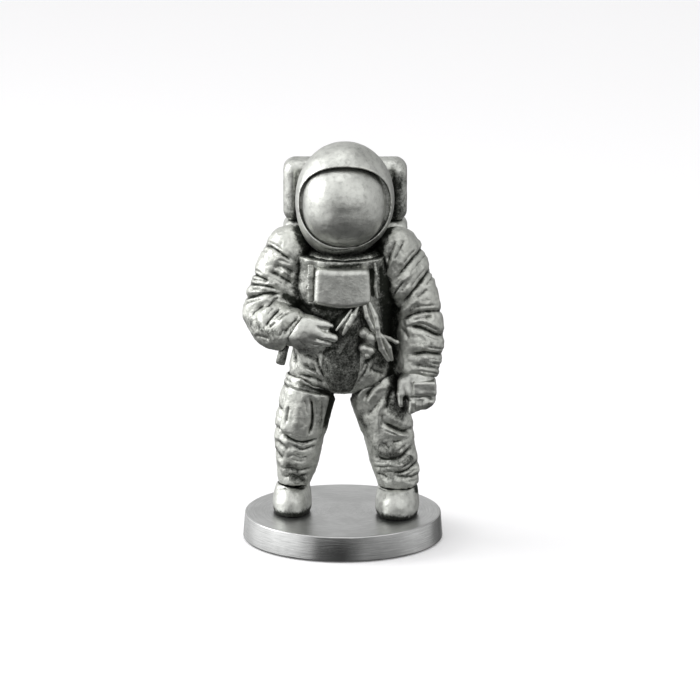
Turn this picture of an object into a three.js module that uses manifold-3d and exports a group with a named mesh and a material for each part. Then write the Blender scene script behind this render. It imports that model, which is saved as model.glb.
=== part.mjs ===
// A cast pewter statuette of an astronaut on a turned round base, built as the sections it is cast in.
// Millimetres, +Z up. The origin is the centre of the pad's underside, and the figure faces -Y,
// so its right hand is on the -X side.
import * as THREE from "three";
import { mergeVertices } from "three/addons/utils/BufferGeometryUtils.js";
import Module from "manifold-3d";

const wasm = await Module();
wasm.setup();

// Driving dimensions.
const GAP = 0.3; // left between castings that are cut to fit each other
const SOLDER = 0.12; // left round small pieces that are soldered onto a surface

const BASE = { bottom: 0.2, top: 5.3, bottomRadius: 20, topRadius: 19.65, edge: 0.35 };
const PAD = { radius: 18, top: 1.2, clearance: 0.3 };
const SCREW = { headRadius: 2, headHeight: 1.5, shankRadius: 0.9, top: 13, clearance: 0.3 };
const ANKLE = 11.2; // height where the boots end and the suit legs begin
const FOOT = { right: [-10.2, -0.2], left: [10.8, -2.4] };

const HELMET = { at: [0.4, -1.2, 70.3], radii: [9.9, 10, 11.7], crown: 2.3, chin: 2.1, chinDrift: -1.1 };
const NECK = { at: [0.3, -0.4], bottom: 57.4, top: 59.8, radii: [8.5, 7.6], hole: 1.5 };
const FACE = { x: 0.3, width: 18, bottom: 62.1, top: 78.7, corner: 7.4, seat: -4.2 };
const VISOR = { at: [0.1, -2.6, 70.2], radii: [8.2, 9.4, 8.2], crown: 2.4, chin: 2.1 };

const PACK_FRONT = 7.6; // the plane where the backpack meets the torso
const PACK_MAIN = { x: 0.5, width: 24.9, depth: 8, bottom: 37, top: 63.2, corner: 2, bevel: 0.9 };
const PACK_TOP = { x: 0.45, width: 24.8, depth: 6.6, bottom: 63.5, top: 75.6, corner: 2.2, bevel: 0.9 };

const CHEST_UNIT = { x: -0.1, width: 11.4, bottom: 50.9, top: 57.6, front: -10.9, back: -5.5, corner: 0.9 };
const BELLY = { at: [-0.3, -3.1, 37.6], radii: [4.9, 6.1, 7.3] };
const KNUCKLE_GUARD = { x: 15.6, width: 5.4, bottom: 29.7, top: 32, front: -7.1, back: -4, corner: 0.4 };
const STRAP = { right: -7.1, left: 7.3, width: 1.3, thickness: 1.5 };
const HOSE_RADIUS = { right: 0.6, inner: 0.55, outer: 0.5, branch: 0.5 };
const KNOBS = { upper: { at: [5, -7.3, 43.4], radius: 1.35 }, lower: { at: [4.6, -7.3, 40.1], radius: 1.4 } };
const HIP_ROD = { top: [-11.9, -4.2, 40.2], bottom: [-12.2, -4.4, 36.4], radius: 0.7 };
const POUCH = { at: [-7.7, 0, 27], size: [8.4, 9.3], tilt: 0.19, corner: 0.8, thickness: 1.3 };
const DOME_RINGS = 3; // rings of facets in a limb's domed end
const DOWEL = { radius: 1, clearance: 0.3 };
const SLOT = { halfWidth: 0.25, depth: 0.6 }; // the screwdriver slot in a screw's head
const BOOTS = { right: [3.85, 5.6, 5.9], left: [4.2, 6.1, 6.2] }; // half width, half length, height
const SOLE_MIDDLE = 1.5; // how far the boots' widest section is above the base
const FINGER = { startDome: 1, endDome: 1, sides: 8, steps: 1 }; // how finely a finger is shaped
const FINGER_PITCH = { right: 1.35, left: 1.5 }; // from one finger to the next
const FAR = 40; // further out than any part of the figure

// Each row is a section of the limb: x, y, z of its centre, then its half width and half depth.
const TORSO = [
  [0.1, 1, 30.6, 6.6, 4.6],
  [0.1, 1, 32.6, 10.1, 7],
  [0, 0.9, 36, 10.7, 7.8],
  [0, 0.9, 41, 9.7, 7.8],
  [0.1, 1, 46, 10, 8],
  [0.2, 1, 51, 11.2, 8.3],
  [0.3, 1, 55, 11.6, 8],
  [0.3, 0.8, 57.4, 10.6, 7.4],
];
const RIGHT_LEG = [
  [-5.6, 1, 33.5, 5.5, 6.4],
  [-7.2, 0.7, 28.5, 5.3, 5.9],
  [-8.2, 0.3, 24.5, 5.1, 5.5],
  [-8.9, 0.1, 20.3, 4.8, 5.1],
  [-9.1, 0.4, 16.1, 4.3, 4.7],
  [-9.6, 0.6, 13.2, 3.5, 4.2],
  [-9.8, 0.6, ANKLE, 3.3, 4],
];
const LEFT_LEG = [
  [5.8, 1, 33.5, 5.5, 6.4],
  [7.1, 0.5, 28.5, 5.4, 5.9],
  [8.7, -0.2, 24, 5.2, 5.5],
  [9.4, -0.7, 20.5, 4.8, 5.1],
  [10.1, -1.1, 17, 4.7, 4.9],
  [10.9, -1.3, 14, 4.5, 4.7],
  [11, -1.4, ANKLE, 4, 4.3],
];
const RIGHT_UPPER_ARM = [
  [-10.3, 1.6, 59, 5.2, 5.2],
  [-12.2, 1.7, 54.5, 5.3, 5.3],
  [-13.9, 1.3, 50, 5.2, 5.2],
  [-15, 0.4, 46.6, 5.2, 5.2],
];
const RIGHT_FOREARM = [
  [-14.7, -0.6, 46, 4.6, 4.6],
  [-13.9, -3.2, 44.9, 4.7, 4.7],
  [-11.8, -6, 44.7, 4.3, 4.3],
  [-9.6, -7.7, 45, 3.9, 3.9],
];
const LEFT_ARM = [
  [10.7, 1.6, 58.5, 5.2, 5.2],
  [12.5, 1.7, 54, 5.1, 5.1],
  [14, 1.4, 49.6, 5, 5],
  [15.1, 0.8, 45, 4.9, 4.9],
  [15.5, -0.4, 41, 4.7, 4.7],
  [15.4, -1.7, 37.6, 4.4, 4.4],
  [15.1, -2.7, 34.6, 4, 4],
];
const RIGHT_PALM = [
  [-9.2, -8, 44.8, 3.3, 3.5],
  [-7, -9.5, 44.6, 3.3, 3.3],
  [-4.6, -10.8, 44.3, 3.2, 2.9],
  [-2.9, -11.4, 44.1, 2.8, 2.4],
];
const LEFT_PALM = [
  [15.1, -2.8, 34.2, 3.6, 3],
  [15.1, -3.4, 32, 3.8, 2.9],
  [15.1, -3.9, 29.6, 3.9, 2.8],
  [14.9, -4.2, 27.9, 3.3, 2.5],
];

// A closed three.js geometry as a manifold-3d solid, to cut and join.
function solid(geometry) {
  const bare = geometry.clone();
  for (const name of ["normal", "uv"]) bare.deleteAttribute(name);
  const merged = mergeVertices(bare, 1e-4);
  const vertProperties = merged.attributes.position.array;
  const triVerts = new Uint32Array(merged.index.array);
  return new wasm.Manifold(new wasm.Mesh({ numProp: 3, vertProperties, triVerts }));
}

// A manifold-3d solid's largest body, as a three.js geometry.
function geometryOf(manifold) {
  const bodies = manifold.decompose().sort((a, b) => b.volume() - a.volume());
  const mesh = bodies[0].getMesh();
  const position = new Float32Array(mesh.numVert * 3);
  for (let i = 0; i < mesh.numVert; i++) {
    position.set(mesh.vertProperties.subarray(i * mesh.numProp, i * mesh.numProp + 3), i * 3);
  }
  const geometry = new THREE.BufferGeometry();
  geometry.setAttribute("position", new THREE.BufferAttribute(position, 3));
  geometry.setIndex(new THREE.BufferAttribute(mesh.triVerts, 1));
  geometry.computeVertexNormals();
  return geometry;
}

const cut = (from, ...cutters) => cutters.reduce((left, cutter) => left.subtract(cutter), from);
const join = (first, ...others) => others.reduce((all, other) => all.add(other), first);

// Four neighbouring values blended as a Catmull-Rom spline does, for the limbs' radii.
function blendValues(values, t) {
  const at = t * (values.length - 1);
  const i = Math.min(Math.floor(at), values.length - 2);
  const f = at - i;
  const inRange = (index) => THREE.MathUtils.clamp(index, 0, values.length - 1);
  const [a, b, c, d] = [-1, 0, 1, 2].map((step) => values[inRange(i + step)]);
  const square = 2 * a - 5 * b + 4 * c - d;
  const cube = 3 * b - a - 3 * c + d;
  return 0.5 * (2 * b + (c - a) * f + square * f * f + cube * f * f * f);
}

// A limb: a capsule bent along its sections' centres and swollen to their radii. Its ends are domes, as
// high as the given share of the end's radius. The half depth is measured towards depthAxis, which
// mustn't run along the limb, and grow adds to every radius.
function limb(sections, options = {}) {
  const { startDome = 0.7, endDome = 0.7, sides = 18, steps = 12, grow = 0, depthAxis = [0, 1, 0] } = options;
  const centres = sections.map(([x, y, z]) => new THREE.Vector3(x, y, z));
  const curve = new THREE.CatmullRomCurve3(centres, false, "centripetal");
  const shape = new THREE.CapsuleGeometry(1, 1, DOME_RINGS, sides, steps);
  const position = shape.attributes.position;
  const depthReference = new THREE.Vector3(...depthAxis);
  for (let i = 0; i < position.count; i++) {
    const along = position.getY(i);
    const t = THREE.MathUtils.clamp(along + 0.5, 0, 1);
    const centre = curve.getPoint(t);
    const tangent = curve.getTangent(THREE.MathUtils.clamp(t, 0.001, 0.999));
    const depth = depthReference.clone().addScaledVector(tangent, -tangent.dot(depthReference)).normalize();
    const side = new THREE.Vector3().crossVectors(tangent, depth).normalize();
    const halfWidth = blendValues(sections.map((s) => s[3]), t) + grow;
    const halfDepth = blendValues(sections.map((s) => s[4]), t) + grow;
    const beyond = Math.abs(along) - 0.5;
    if (beyond > 0) {
      const dome = (along > 0 ? endDome : startDome) * halfDepth + grow;
      centre.addScaledVector(tangent, Math.sign(along) * beyond * dome);
    }
    centre.addScaledVector(side, position.getX(i) * halfWidth);
    centre.addScaledVector(depth, position.getZ(i) * halfDepth);
    position.setXYZ(i, centre.x, centre.y, centre.z);
  }
  return outward(solid(shape));
}

// A solid with its faces pointing out, whichever way its source was wound.
function outward(made) {
  return made.volume() < 0 ? made.mirror([1, 0, 0]).mirror([-1, 0, 0]) : made;
}

function box(x0, x1, y0, y1, z0, z1) {
  const shape = new THREE.BoxGeometry(x1 - x0, y1 - y0, z1 - z0);
  return solid(shape.translate((x0 + x1) / 2, (y0 + y1) / 2, (z0 + z1) / 2));
}

// Everything between two heights.
const layer = (bottom, top) => box(-FAR, FAR, -FAR, FAR, bottom, top);

// Everything further back than a plane that faces the front.
const behind = (y) => box(-FAR, FAR, y, FAR, -FAR, 2 * FAR + 10);

function ellipsoid([x, y, z], [rx, ry, rz], { sides = 18, rings = 14, grow = 0 } = {}) {
  const shape = new THREE.SphereGeometry(1, sides, rings);
  shape.rotateX(Math.PI / 2).scale(rx + grow, ry + grow, rz + grow);
  return solid(shape.translate(x, y, z));
}

// A cylinder between two points.
function rod(from, to, radius, sides = 12) {
  const start = new THREE.Vector3(...from);
  const end = new THREE.Vector3(...to);
  const shape = new THREE.CylinderGeometry(radius, radius, start.distanceTo(end), sides);
  const direction = end.clone().sub(start).normalize();
  const turn = new THREE.Quaternion().setFromUnitVectors(new THREE.Vector3(0, 1, 0), direction);
  const middle = start.add(end).multiplyScalar(0.5);
  return solid(shape.applyQuaternion(turn).translate(middle.x, middle.y, middle.z));
}

// A solid of revolution about +Z from [radius, height] points that start and end on the axis.
function turned(profile, sides = 64) {
  const shape = new THREE.LatheGeometry(profile.map(([r, z]) => new THREE.Vector2(r, z)), sides);
  return outward(solid(shape.rotateX(Math.PI / 2)));
}

function roundedRectangle(width, height, corner) {
  const [w, h] = [width / 2, height / 2];
  const outline = new THREE.Shape();
  outline.moveTo(-w + corner, -h);
  outline.lineTo(w - corner, -h);
  outline.absarc(w - corner, -h + corner, corner, -Math.PI / 2, 0);
  outline.lineTo(w, h - corner);
  outline.absarc(w - corner, h - corner, corner, 0, Math.PI / 2);
  outline.lineTo(-w + corner, h);
  outline.absarc(-w + corner, h - corner, corner, Math.PI / 2, Math.PI);
  outline.lineTo(-w, -h + corner);
  outline.absarc(-w + corner, -h + corner, corner, Math.PI, Math.PI * 1.5);
  return outline;
}

// A plate with rounded corners seen from the front, from y = front back to y = back.
function plate({ x, width, bottom, top, front, back, corner, bevel = 0, segments = 3 }) {
  const sharpest = 0.3;
  const radius = Math.max(corner - bevel, sharpest);
  const outline = roundedRectangle(width - 2 * bevel, top - bottom - 2 * bevel, radius);
  const shape = new THREE.ExtrudeGeometry(outline, {
    depth: back - front - 2 * bevel,
    curveSegments: segments,
    bevelEnabled: bevel > 0,
    bevelThickness: bevel,
    bevelSize: bevel,
    bevelSegments: 2,
  });
  return solid(shape.rotateX(Math.PI / 2).translate(x, back - bevel, (bottom + top) / 2));
}

// A hose: a round section swept along points, with flat ends.
function hose(points, radius, { sides = 4, steps = 9 } = {}) {
  const path = new THREE.CatmullRomCurve3(points.map((p) => new THREE.Vector3(...p)));
  const section = new THREE.Shape().absarc(0, 0, radius, 0, Math.PI * 2);
  const shape = new THREE.ExtrudeGeometry(section, {
    steps,
    curveSegments: sides,
    bevelEnabled: false,
    extrudePath: path,
  });
  return outward(solid(shape));
}

// A flat strap swept along points, its width along X.
function strap(points, width, thickness, steps = 6) {
  const path = new THREE.CatmullRomCurve3(points.map((p) => new THREE.Vector3(...p)));
  const section = roundedRectangle(thickness, width, 0.2);
  const options = { steps, curveSegments: 1, bevelEnabled: false, extrudePath: path };
  const shape = new THREE.ExtrudeGeometry(section, options);
  return outward(solid(shape));
}

const materials = {
  cast: new THREE.MeshStandardMaterial({ color: 0x8d8d88, roughness: 0.42, metalness: 1 }),
  burnished: new THREE.MeshStandardMaterial({ color: 0xa3a39f, roughness: 0.34, metalness: 1 }),
  turned: new THREE.MeshStandardMaterial({ color: 0x9b9d9b, roughness: 0.3, metalness: 1 }),
  steel: new THREE.MeshStandardMaterial({ color: 0xb4b6b8, roughness: 0.3, metalness: 1 }),
  felt: new THREE.MeshStandardMaterial({ color: 0x1d1f22, roughness: 0.95, metalness: 0 }),
};

const group = new THREE.Group();

function addPiece(name, manifold, material) {
  const mesh = new THREE.Mesh(geometryOf(manifold), material);
  mesh.name = name;
  group.add(mesh);
}

// The base, its pad and its screws.
function makeBase() {
  const { bottom, top, bottomRadius, topRadius, edge } = BASE;
  const disc = turned([
    [0, PAD.top],
    [PAD.radius + PAD.clearance, PAD.top],
    [PAD.radius + PAD.clearance, bottom],
    [bottomRadius - edge, bottom],
    [bottomRadius, bottom + edge],
    [topRadius, top - edge],
    [topRadius - edge, top],
    [0, top],
  ]);
  const sinkTop = PAD.top + SCREW.headHeight + SCREW.clearance;
  const holes = Object.values(FOOT).flatMap(([x, y]) => [
    rod([x, y, PAD.top - 1], [x, y, sinkTop], SCREW.headRadius + SCREW.clearance, 18),
    rod([x, y, bottom], [x, y, top + 1], SCREW.shankRadius + SCREW.clearance),
  ]);
  addPiece("base", cut(disc, ...holes), materials.turned);
  const pad = turned([[0, 0], [PAD.radius, 0], [PAD.radius, PAD.top], [0, PAD.top]], 48);
  addPiece("base_pad", pad, materials.felt);
}

// The hole for a screw's shank in the boot and the leg above it.
function screwHole([x, y]) {
  return rod([x, y, 0], [x, y, SCREW.top + SCREW.clearance], SCREW.shankRadius + SCREW.clearance);
}

function makeScrews() {
  for (const [side, [x, y]] of Object.entries(FOOT)) {
    const headBottom = PAD.top + SCREW.clearance;
    const headTop = headBottom + SCREW.headHeight;
    const head = rod([x, y, headBottom], [x, y, headTop], SCREW.headRadius, 18);
    const shank = rod([x, y, headTop - 0.2], [x, y, SCREW.top], SCREW.shankRadius);
    const slotTop = headBottom + SLOT.depth;
    const slot = box(x - 3, x + 3, y - SLOT.halfWidth, y + SLOT.halfWidth, headBottom - 1, slotTop);
    addPiece(`${side}_screw`, cut(join(head, shank), slot), materials.steel);
  }
}

// A boot: a rounded foot cut flat for its sole, and a short shaft up to the ankle.
function makeBoots(legs) {
  const middle = BASE.top + SOLE_MIDDLE;
  const inset = 0.4;
  for (const [side, [x, y]] of Object.entries(FOOT)) {
    const foot = ellipsoid([x, y, middle], BOOTS[side], { sides: 20, rings: 14 });
    const [legX, legY, , legRadius] = legs[side].at(-1);
    const shaft = rod([legX, legY, middle], [legX, legY, ANKLE], legRadius - inset, 20);
    const above = layer(ANKLE, FAR);
    const below = layer(-FAR, BASE.top);
    addPiece(`${side}_boot`, cut(join(foot, shaft), above, below, screwHole([x, y])), materials.burnished);
  }
}

const torsoSolid = (grow = 0) => {
  const whole = limb(TORSO, { startDome: 0.3, endDome: 0.3, sides: 24, steps: 11, grow });
  return cut(whole, layer(NECK.bottom + grow, 2 * FAR), behind(PACK_FRONT + grow));
};

// An egg that is fuller than an ellipsoid: crown and chin are its powers above and below the middle, and
// chinDrift moves its lower end sideways.
function egg({ at, radii, crown, chin, chinDrift = 0 }, { sides, rings, grow = 0 }) {
  const shape = new THREE.SphereGeometry(1, sides, rings).rotateX(Math.PI / 2);
  const position = shape.attributes.position;
  const [rx, ry, rz] = radii.map((radius) => radius + grow);
  for (let i = 0; i < position.count; i++) {
    const height = position.getZ(i);
    const power = height > 0 ? crown : chin;
    const round = Math.hypot(position.getX(i), position.getY(i));
    const fuller = round > 1e-6 ? (1 - Math.abs(height) ** power) ** (1 / power) / round : 1;
    const drift = height < 0 ? chinDrift * height * height : 0;
    const x = at[0] + drift + position.getX(i) * fuller * rx;
    const y = at[1] + position.getY(i) * fuller * ry;
    position.setXYZ(i, x, y, at[2] + height * rz);
  }
  return solid(shape);
}

const helmetSolid = (grow = 0) => egg(HELMET, { sides: 26, rings: 18, grow });
const bellySolid = (grow = 0) => ellipsoid(BELLY.at, BELLY.radii, { sides: 20, rings: 16, grow });
const neckRadiusRatio = NECK.radii[1] / NECK.radii[0];

// The neck ring is a round-edged band, wider than it is deep.
function neckSolid(grow = 0) {
  const outer = NECK.radii[0] + grow;
  const [low, high] = [NECK.bottom - grow, NECK.top + grow];
  const inset = 0.7;
  const ring = new THREE.LatheGeometry(
    [
      [NECK.hole, low],
      [outer - inset, low],
      [outer, low + inset],
      [outer, high - inset],
      [outer - inset, high],
      [NECK.hole, high],
      [NECK.hole, low],
    ].map(([r, z]) => new THREE.Vector2(r, z)),
    32,
  );
  ring.rotateX(Math.PI / 2).scale(1, neckRadiusRatio, 1).translate(NECK.at[0], NECK.at[1], 0);
  return outward(solid(ring));
}

const legSolids = {
  right: (grow = 0) => limb(RIGHT_LEG, { startDome: 0.5, endDome: 0.4, grow }),
  left: (grow = 0) => limb(LEFT_LEG, { startDome: 0.5, endDome: 0.4, grow }),
};
const sleeveSolids = {
  right: (grow = 0) => join(
    limb(RIGHT_UPPER_ARM, { startDome: 1, endDome: 1, steps: 8, grow }),
    limb(RIGHT_FOREARM, { startDome: 1, endDome: 0.12, steps: 7, grow, depthAxis: [0, 0, 1] }),
  ),
  left: (grow = 0) => limb(LEFT_ARM, { startDome: 1, endDome: 0.12, steps: 13, grow }),
};

const DOWELS = {
  neck_dowel: [[...NECK.at, 52], [...NECK.at, 66]],
  right_shoulder_dowel: [[-5.5, 1.5, 55], [-13, 1.5, 55]],
  left_shoulder_dowel: [[5.8, 1.5, 55], [13.4, 1.5, 55]],
  backpack_dowel_upper: [[0.3, 3.5, 54], [0.3, 12, 54]],
  backpack_dowel_lower: [[0.3, 3.5, 42], [0.3, 12, 42]],
};

// The hole that a dowel sits in: the same line with room round it and past its ends.
function dowelHole(name) {
  const [from, to] = DOWELS[name].map((point) => new THREE.Vector3(...point));
  const past = to.clone().sub(from).normalize().multiplyScalar(DOWEL.clearance);
  const start = from.clone().sub(past).toArray();
  const end = to.clone().add(past).toArray();
  return rod(start, end, DOWEL.radius + DOWEL.clearance);
}

function makeDowels() {
  for (const [name, [from, to]] of Object.entries(DOWELS)) {
    addPiece(name, rod(from, to, DOWEL.radius), materials.steel);
  }
}

function makeTorso() {
  const holes = Object.keys(DOWELS).map(dowelHole);
  addPiece("torso", cut(torsoSolid(), ...holes), materials.cast);
  const cover = cut(bellySolid(), torsoSolid(SOLDER), legSolids.right(GAP), legSolids.left(GAP));
  addPiece("belly_cover", cover, materials.cast);
}

function makeLegs() {
  const underAnkle = layer(-FAR, ANKLE);
  const split = GAP / 2; // the legs end just short of each other at the crotch
  const inside = {
    right: box(split, FAR, -FAR, FAR, 0, FAR),
    left: box(-FAR, split, -FAR, FAR, 0, FAR),
  };
  for (const side of ["right", "left"]) {
    const hole = screwHole(FOOT[side]);
    const leg = cut(legSolids[side](), torsoSolid(GAP), inside[side], underAnkle, hole);
    addPiece(`${side}_leg`, leg, materials.cast);
  }
}

function makeSleeves() {
  for (const side of ["right", "left"]) {
    const neighbours = [torsoSolid(GAP), helmetSolid(GAP), neckSolid(GAP), behind(PACK_FRONT)];
    const hole = dowelHole(`${side}_shoulder_dowel`);
    addPiece(`${side}_sleeve`, cut(sleeveSolids[side](), ...neighbours, hole), materials.cast);
  }
}

// The right hand is closed round the end of a hose, the left one hangs as a loose fist.
function makeGloves() {
  const rightPalm = limb(RIGHT_PALM, { startDome: 0.1, endDome: 0.6, sides: 16, steps: 6 });
  const rightFingers = [0, 1, 2, 3].map((i) => {
    const height = 45.9 - i * FINGER_PITCH.right;
    const knuckle = [-3.6 - i * 0.35, -12.4, height];
    const tip = [-1 - i * 0.5, -11.6 + i * 0.15, height - 0.7];
    return limb([[...knuckle, 0.95, 0.95], [...tip, 0.8, 0.8]], FINGER);
  });
  const rightThumbLine = [[-5.6, -10.6, 47.2, 1.1, 1.1], [-2.4, -12.2, 46.9, 0.9, 0.9]];
  const rightThumb = limb(rightThumbLine, { sides: 8, steps: 1 });
  const rightHand = join(rightPalm, ...rightFingers, rightThumb);
  const neighbours = [torsoSolid(GAP), bellySolid(GAP)];
  addPiece("right_glove", cut(rightHand, sleeveSolids.right(GAP), ...neighbours), materials.burnished);

  const leftPalm = limb(LEFT_PALM, { startDome: 0.1, endDome: 0.7, sides: 16, steps: 6 });
  const leftFingers = [0, 1, 2, 3].map((i) => {
    const x = 13.1 + i * FINGER_PITCH.left;
    const drop = 0.35 * Math.abs(i - 1.2);
    const knuckle = [x, -5.6, 29.8];
    const tip = [x, -5.5, 27.3 + drop];
    return limb([[...knuckle, 0.95, 1.15], [...tip, 0.85, 1]], FINGER);
  });
  const knuckleGuard = plate({ ...KNUCKLE_GUARD, segments: 2 });
  const leftThumbLine = [[12, -4.8, 32.4, 1, 1], [11.6, -5.4, 29.4, 0.85, 0.85]];
  const leftThumb = limb(leftThumbLine, { sides: 8, steps: 1 });
  const leftHand = join(leftPalm, ...leftFingers, knuckleGuard, leftThumb);
  addPiece("left_glove", cut(leftHand, sleeveSolids.left(GAP), legSolids.left(GAP)), materials.burnished);
}

// The helmet has a wide opening in its face, and the visor is a dome that sits in it with a groove round it.
function makeHelmet() {
  const opening = plate({ ...FACE, front: -FAR, back: FACE.seat, segments: 8 });
  const underNeck = layer(0, NECK.top);
  const shell = cut(helmetSolid(), opening, underNeck, dowelHole("neck_dowel"));
  addPiece("helmet_shell", shell, materials.burnished);
  addPiece("visor", cut(egg(VISOR, { sides: 24, rings: 18 }), behind(FACE.seat)), materials.burnished);
  addPiece("neck_ring", neckSolid(), materials.cast);
}

function makeBackpack() {
  const main = plate({ ...PACK_MAIN, front: PACK_FRONT, back: PACK_FRONT + PACK_MAIN.depth });
  const holes = ["backpack_dowel_upper", "backpack_dowel_lower"].map(dowelHole);
  addPiece("backpack_main", cut(main, ...holes), materials.burnished);
  const front = PACK_FRONT + 0.2;
  const top = plate({ ...PACK_TOP, front, back: front + PACK_TOP.depth });
  addPiece("backpack_top_unit", cut(top, helmetSolid(GAP)), materials.burnished);
}

function makeChestUnit() {
  const block = plate({ ...CHEST_UNIT, bevel: 0.5 });
  addPiece("chest_unit", cut(block, torsoSolid(SOLDER), neckSolid(SOLDER)), materials.burnished);
}

function makeStraps() {
  for (const side of ["right", "left"]) {
    const x = STRAP[side];
    const middleLine = [[x * 0.93, -4.6, 58.6], [x, -6.9, 55.5], [x, -7.4, 52.5], [x, -7.2, 49.4]];
    const band = strap(middleLine, STRAP.width, STRAP.thickness);
    const neighbours = [torsoSolid(SOLDER), neckSolid(SOLDER), sleeveSolids[side](SOLDER)];
    addPiece(`${side}_strap`, cut(band, ...neighbours), materials.cast);
  }
}

// The hoses below the chest unit, and the two valve stubs between them.
function makeHoses() {
  const tucked = [torsoSolid(SOLDER), bellySolid(SOLDER)];
  const rightLine = [[3.1, -9.5, 50.6], [2.2, -10.3, 48.6], [1, -10.9, 46.8], [0.1, -11.3, 45.6]];
  const innerLine = [
    [4.2, -9.3, 50.6],
    [5.4, -9.3, 47],
    [6.6, -9, 43.4],
    [7.9, -8.1, 39.4],
    [8.8, -7.2, 36.8],
  ];
  const outerLine = [
    [5.6, -9, 50.6],
    [6.9, -9, 47],
    [8.1, -8.6, 43],
    [9.4, -7.5, 39.6],
    [10.2, -6.5, 36.8],
  ];
  const branchLine = [[8, -8.7, 42.8], [9.6, -7.4, 42], [10.6, -6, 41.6], [11.6, -4.4, 41.3]];
  const inner = hose(innerLine, HOSE_RADIUS.inner);
  const outer = hose(outerLine, HOSE_RADIUS.outer);
  const branch = hose(branchLine, HOSE_RADIUS.branch, { steps: 6 });
  addPiece("right_chest_hose", hose(rightLine, HOSE_RADIUS.right), materials.cast);
  addPiece("left_hose_inner", cut(inner, ...tucked), materials.cast);
  addPiece("left_hose_outer", cut(outer, ...tucked), materials.cast);
  addPiece("left_hose_branch", cut(branch, ...tucked, outer, sleeveSolids.left(SOLDER)), materials.cast);
  for (const [name, { at, radius }] of Object.entries(KNOBS)) {
    const knob = ellipsoid(at, [radius, radius * 1.1, radius], { sides: 12, rings: 8 });
    addPiece(`connector_${name}`, cut(knob, ...tucked, inner), materials.cast);
  }
}

// The pocket is a patch of the leg's own surface, standing off it by the pocket's thickness.
function makeThighPocket() {
  const { at, size, tilt, corner, thickness } = POUCH;
  const outline = roundedRectangle(...size, corner);
  const shape = new THREE.ExtrudeGeometry(outline, { depth: 12, curveSegments: 3, bevelEnabled: false });
  const patch = solid(shape.rotateX(Math.PI / 2).rotateY(tilt).translate(...at));
  const pocket = cut(legSolids.right(thickness).intersect(patch), legSolids.right(SOLDER));
  addPiece("thigh_pocket", pocket, materials.cast);
}

function makeHipRod() {
  const whole = rod(HIP_ROD.top, HIP_ROD.bottom, HIP_ROD.radius);
  addPiece("hip_rod", cut(whole, torsoSolid(SOLDER), sleeveSolids.right(SOLDER)), materials.cast);
}

makeBase();
makeScrews();
makeBoots({ right: RIGHT_LEG, left: LEFT_LEG });
makeLegs();
makeTorso();
makeSleeves();
makeGloves();
makeHelmet();
makeBackpack();
makeChestUnit();
makeStraps();
makeHoses();
makeThighPocket();
makeHipRod();
makeDowels();

export default group;
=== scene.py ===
"""The looks of a cast and antiqued pewter astronaut statuette on a turned base.

The suit's castings start from the CAD solids: each is resampled as a field of distances, its facets are
blurred away, and its folds are pressed in. The hard pieces are modelled as fields of their own. Modelling
is in millimetres, in the CAD's frame: the figure faces -Y and its right hand is on the -X side.
"""
import math

import bpy
import numpy as np
import openvdb
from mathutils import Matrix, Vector


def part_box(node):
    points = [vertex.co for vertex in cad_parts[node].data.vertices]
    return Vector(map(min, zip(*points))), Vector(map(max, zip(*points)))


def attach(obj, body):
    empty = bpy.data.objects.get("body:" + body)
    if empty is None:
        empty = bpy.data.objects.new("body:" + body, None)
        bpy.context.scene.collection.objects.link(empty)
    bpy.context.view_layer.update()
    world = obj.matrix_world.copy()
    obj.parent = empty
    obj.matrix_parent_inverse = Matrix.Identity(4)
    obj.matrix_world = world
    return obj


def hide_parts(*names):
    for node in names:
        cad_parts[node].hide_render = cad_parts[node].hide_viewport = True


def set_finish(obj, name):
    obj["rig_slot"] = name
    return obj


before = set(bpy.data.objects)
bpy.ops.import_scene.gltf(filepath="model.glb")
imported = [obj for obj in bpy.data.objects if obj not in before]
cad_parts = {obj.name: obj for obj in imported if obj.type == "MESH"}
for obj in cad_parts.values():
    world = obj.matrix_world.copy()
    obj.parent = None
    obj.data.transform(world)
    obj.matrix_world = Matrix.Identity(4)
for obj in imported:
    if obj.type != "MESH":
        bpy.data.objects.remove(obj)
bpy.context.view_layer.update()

MM = 0.001

# The spacing of the grids that pieces are modelled on, in mm, and a distance beyond any piece.
SUIT_VOXEL = 0.17
FINE_VOXEL = 0.15
HELMET_VOXEL = 0.19
FAR = 1e3

# Folds and small pieces are placed on the picture plane of someone who faces the statuette and looks down
# at it by VIEW_TILT: x across, and height up that plane.
VIEW_TILT = math.radians(15.4)
TILT_COS = math.cos(VIEW_TILT)
TILT_SIN = math.sin(VIEW_TILT)
TO_VIEWER = np.array([0, -TILT_COS, TILT_SIN])


def at(x, height, y):
    """The point at depth y that shows at x and height on the picture plane."""
    return np.array([x, y, (height - y * TILT_SIN) / TILT_COS])


def picture_plane(points):
    return np.stack([points[:, 0], points[:, 2] * TILT_COS + points[:, 1] * TILT_SIN], 1)


def smoothstep(low, high, value):
    t = np.clip((value - low) / (high - low), 0, 1)
    return t * t * (3 - 2 * t)


# -------- fields of distances


def blurred(values, sigma):
    """A Gaussian blur with sigma in voxels."""
    reach = int(math.ceil(2.5 * sigma))
    weights = np.exp(-0.5 * (np.arange(-reach, reach + 1) / sigma) ** 2)
    weights /= weights.sum()
    for axis in range(3):
        padded = np.pad(values, [(reach, reach) if a == axis else (0, 0) for a in range(3)], mode="edge")
        size = values.shape[axis]
        total = np.zeros_like(values)
        for shift, weight in enumerate(weights):
            total += np.float32(weight) * np.take(padded, range(shift, shift + size), axis=axis)
        values = total
    return values


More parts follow.
